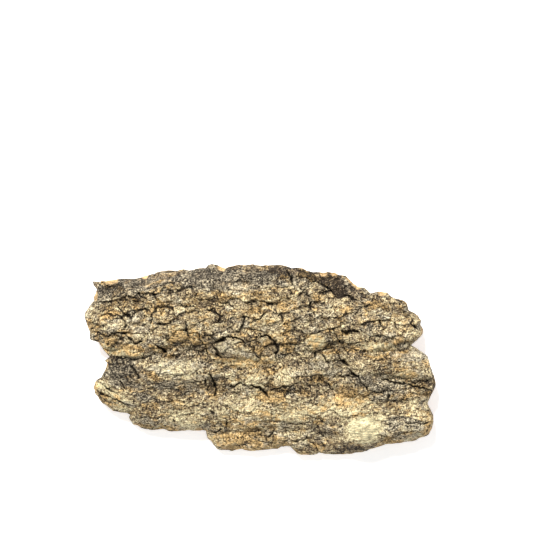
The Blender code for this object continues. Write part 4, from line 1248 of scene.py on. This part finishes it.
def block_of_cells(sizes):
    """A closed block of cells, from minus 1 to 1 in plan and from 0 to 1 in height."""
    bpy.ops.object.select_all(action="DESELECT")
    across = round(sizes.cells_along * BLOCK_WIDTH / DRAWN_LENGTH)
    bpy.ops.mesh.primitive_grid_add(x_subdivisions=sizes.cells_along, y_subdivisions=across, size=2)
    slab = bpy.context.object
    slab.name = slab.data.name = "cork_bark"
    bpy.context.tool_settings.mesh_select_mode = (False, True, False)
    bpy.ops.object.mode_set(mode="EDIT")
    bpy.ops.mesh.select_all(action="SELECT")
    bpy.ops.mesh.extrude_region_move(TRANSFORM_OT_translate={"value": (0, 0, 1)})
    bpy.ops.mesh.select_all(action="DESELECT")
    bpy.ops.object.mode_set(mode="OBJECT")
    ends = np.empty(len(slab.data.edges) * 2, np.int32)
    slab.data.edges.foreach_get("vertices", ends)
    end_heights = points_of(slab.data)[ends.reshape(-1, 2), 2]
    slab.data.edges.foreach_set("select", abs(end_heights[:, 0] - end_heights[:, 1]) > 0.5)
    bpy.ops.object.mode_set(mode="EDIT")
    bpy.ops.mesh.subdivide(number_cuts=RIM_ROWS)
    bpy.ops.mesh.select_all(action="SELECT")
    bpy.ops.mesh.normals_make_consistent(inside=False)
    bpy.ops.object.mode_set(mode="OBJECT")
    return slab


def thin_out(slab, wanted):
    """Takes out triangles where the surface is nearly flat."""
    triangles = sum(len(face.vertices) - 2 for face in slab.data.polygons)
    thinner = slab.modifiers.new("fewer_triangles", "DECIMATE")
    thinner.ratio = wanted / triangles
    bpy.ops.object.modifier_apply(modifier=thinner.name)


def paint_fields(slab, maps):
    """Gives each point the fields that the material reads."""
    mesh = slab.data
    x, y, z = points_of(mesh).T / STEP
    level = np.empty(len(mesh.vertices))
    mesh.attributes["bark_level"].data.foreach_get("value", level)
    fields = {name: read_map(field, x, y) for name, field in maps.items()}
    uneven = 0.12 * noise(x / 9, y / 9, 307)
    fields["bark_inner"] = 1 - smooth_step(level, *INNER_FACE_ENDS)
    cork_band = 1 - smooth_step(level + uneven, *CORK_BAND_ENDS)
    fields["bark_cut"] = np.maximum(fields["bark_cut"], cork_band)
    fields["bark_gap_painted_shade"] *= smooth_step(level, *GAPS_BEGIN)
    for name in FIELDS:
        painted = mesh.attributes.new(name, "FLOAT", "POINT")
        painted.data.foreach_set("value", fields[name])
    flow = np.column_stack([fields["line_x"], fields["line_y"], z]) * STEP
    mesh.attributes.new("bark_flow", "FLOAT_VECTOR", "POINT").data.foreach_set("vector", flow.ravel())


def settle(slab):
    """Puts the slab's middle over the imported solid's, with its resting spots at its height."""
    points = points_of(slab.data)
    low, high = points.min(axis=0), points.max(axis=0)
    shift = (np.array(LOW) + np.array(HIGH)) / 2 - (low + high) / 2
    shift[2] = LOW[2] - low[2]
    move_points(slab.data, points + shift)


class CORKBARK_OT_make_stage(bpy.types.Operator):
    """Makes the pale floor, the soft light and the camera straight above the slab"""

    bl_idname = "cork_bark.make_stage"
    bl_label = "Make the stage"

    def execute(self, context):
        scene = context.scene
        bpy.ops.object.select_all(action="DESELECT")
        bpy.ops.mesh.primitive_circle_add(vertices=96, radius=FLOOR_RADIUS, fill_type="NGON")
        floor = context.object
        floor.name = floor.data.name = "studio_floor"
        floor.data.materials.append(painted_sweep())

        # A soft key light from the far left, and an even pale sky
        bpy.ops.object.light_add(type="SUN", rotation=KEY_TURN)
        key = context.object
        key.name = key.data.name = "soft_key"
        key.data.energy = KEY_STRENGTH
        key.data.angle = KEY_ANGLE
        key.data.color = linear("#FFF9F0")[:3]
        world = bpy.data.worlds.new("studio")
        world.use_nodes = True
        sky = world.node_tree.nodes["Background"]
        sky.inputs["Color"].default_value = linear("#FFFFFF")
        sky.inputs["Strength"].default_value = SKY_STRENGTH
        scene.world = world
        scene.view_settings.view_transform = "Standard"

        # The camera looks straight down. It takes in the picture's width at the rim's height,
        # and stands over the picture's middle.
        distance = LENS / SENSOR_WIDTH * PICTURE_PIXELS * STEP
        aside, beyond = (PICTURE_PIXELS / 2 - SLAB_PIXEL[0], SLAB_PIXEL[1] - PICTURE_PIXELS / 2)
        bpy.ops.object.camera_add(
            location=(aside * STEP, beyond * STEP, RIM_HEIGHT + distance), rotation=(0, 0, 0))
        camera = context.object
        camera.name = camera.data.name = "camera"
        camera.data.lens = LENS
        camera.data.sensor_width = SENSOR_WIDTH
        scene.camera = camera
        return {"FINISHED"}


class CORKBARK_PT_panel(bpy.types.Panel):
    """Sizes, colours and makers of the cork bark slab"""

    bl_label = "Cork Bark Slab"
    bl_space_type = "VIEW_3D"
    bl_region_type = "UI"
    bl_category = "Cork Bark"

    def draw(self, context):
        for settings in (context.scene.cork_bark_sizes, context.scene.cork_bark_colours):
            column = self.layout.column(align=True)
            for name in settings.__annotations__:
                column.prop(settings, name)
        for maker in MAKERS:
            self.layout.operator(maker.bl_idname)


MAKERS = (CORKBARK_OT_make_slab, CORKBARK_OT_make_stage)
CLASSES = (BarkSizes, BarkColours, *MAKERS, CORKBARK_PT_panel)


def register():
    for each in CLASSES:
        bpy.utils.register_class(each)
    bpy.types.Scene.cork_bark_sizes = bpy.props.PointerProperty(type=BarkSizes)
    bpy.types.Scene.cork_bark_colours = bpy.props.PointerProperty(type=BarkColours)


def unregister():
    del bpy.types.Scene.cork_bark_colours
    del bpy.types.Scene.cork_bark_sizes
    for each in reversed(CLASSES):
        bpy.utils.unregister_class(each)


def main():
    """Makes everything in order."""
    register()
    bpy.ops.cork_bark.make_slab()
    bpy.ops.cork_bark.make_stage()


if __name__ == "__main__":
    main()
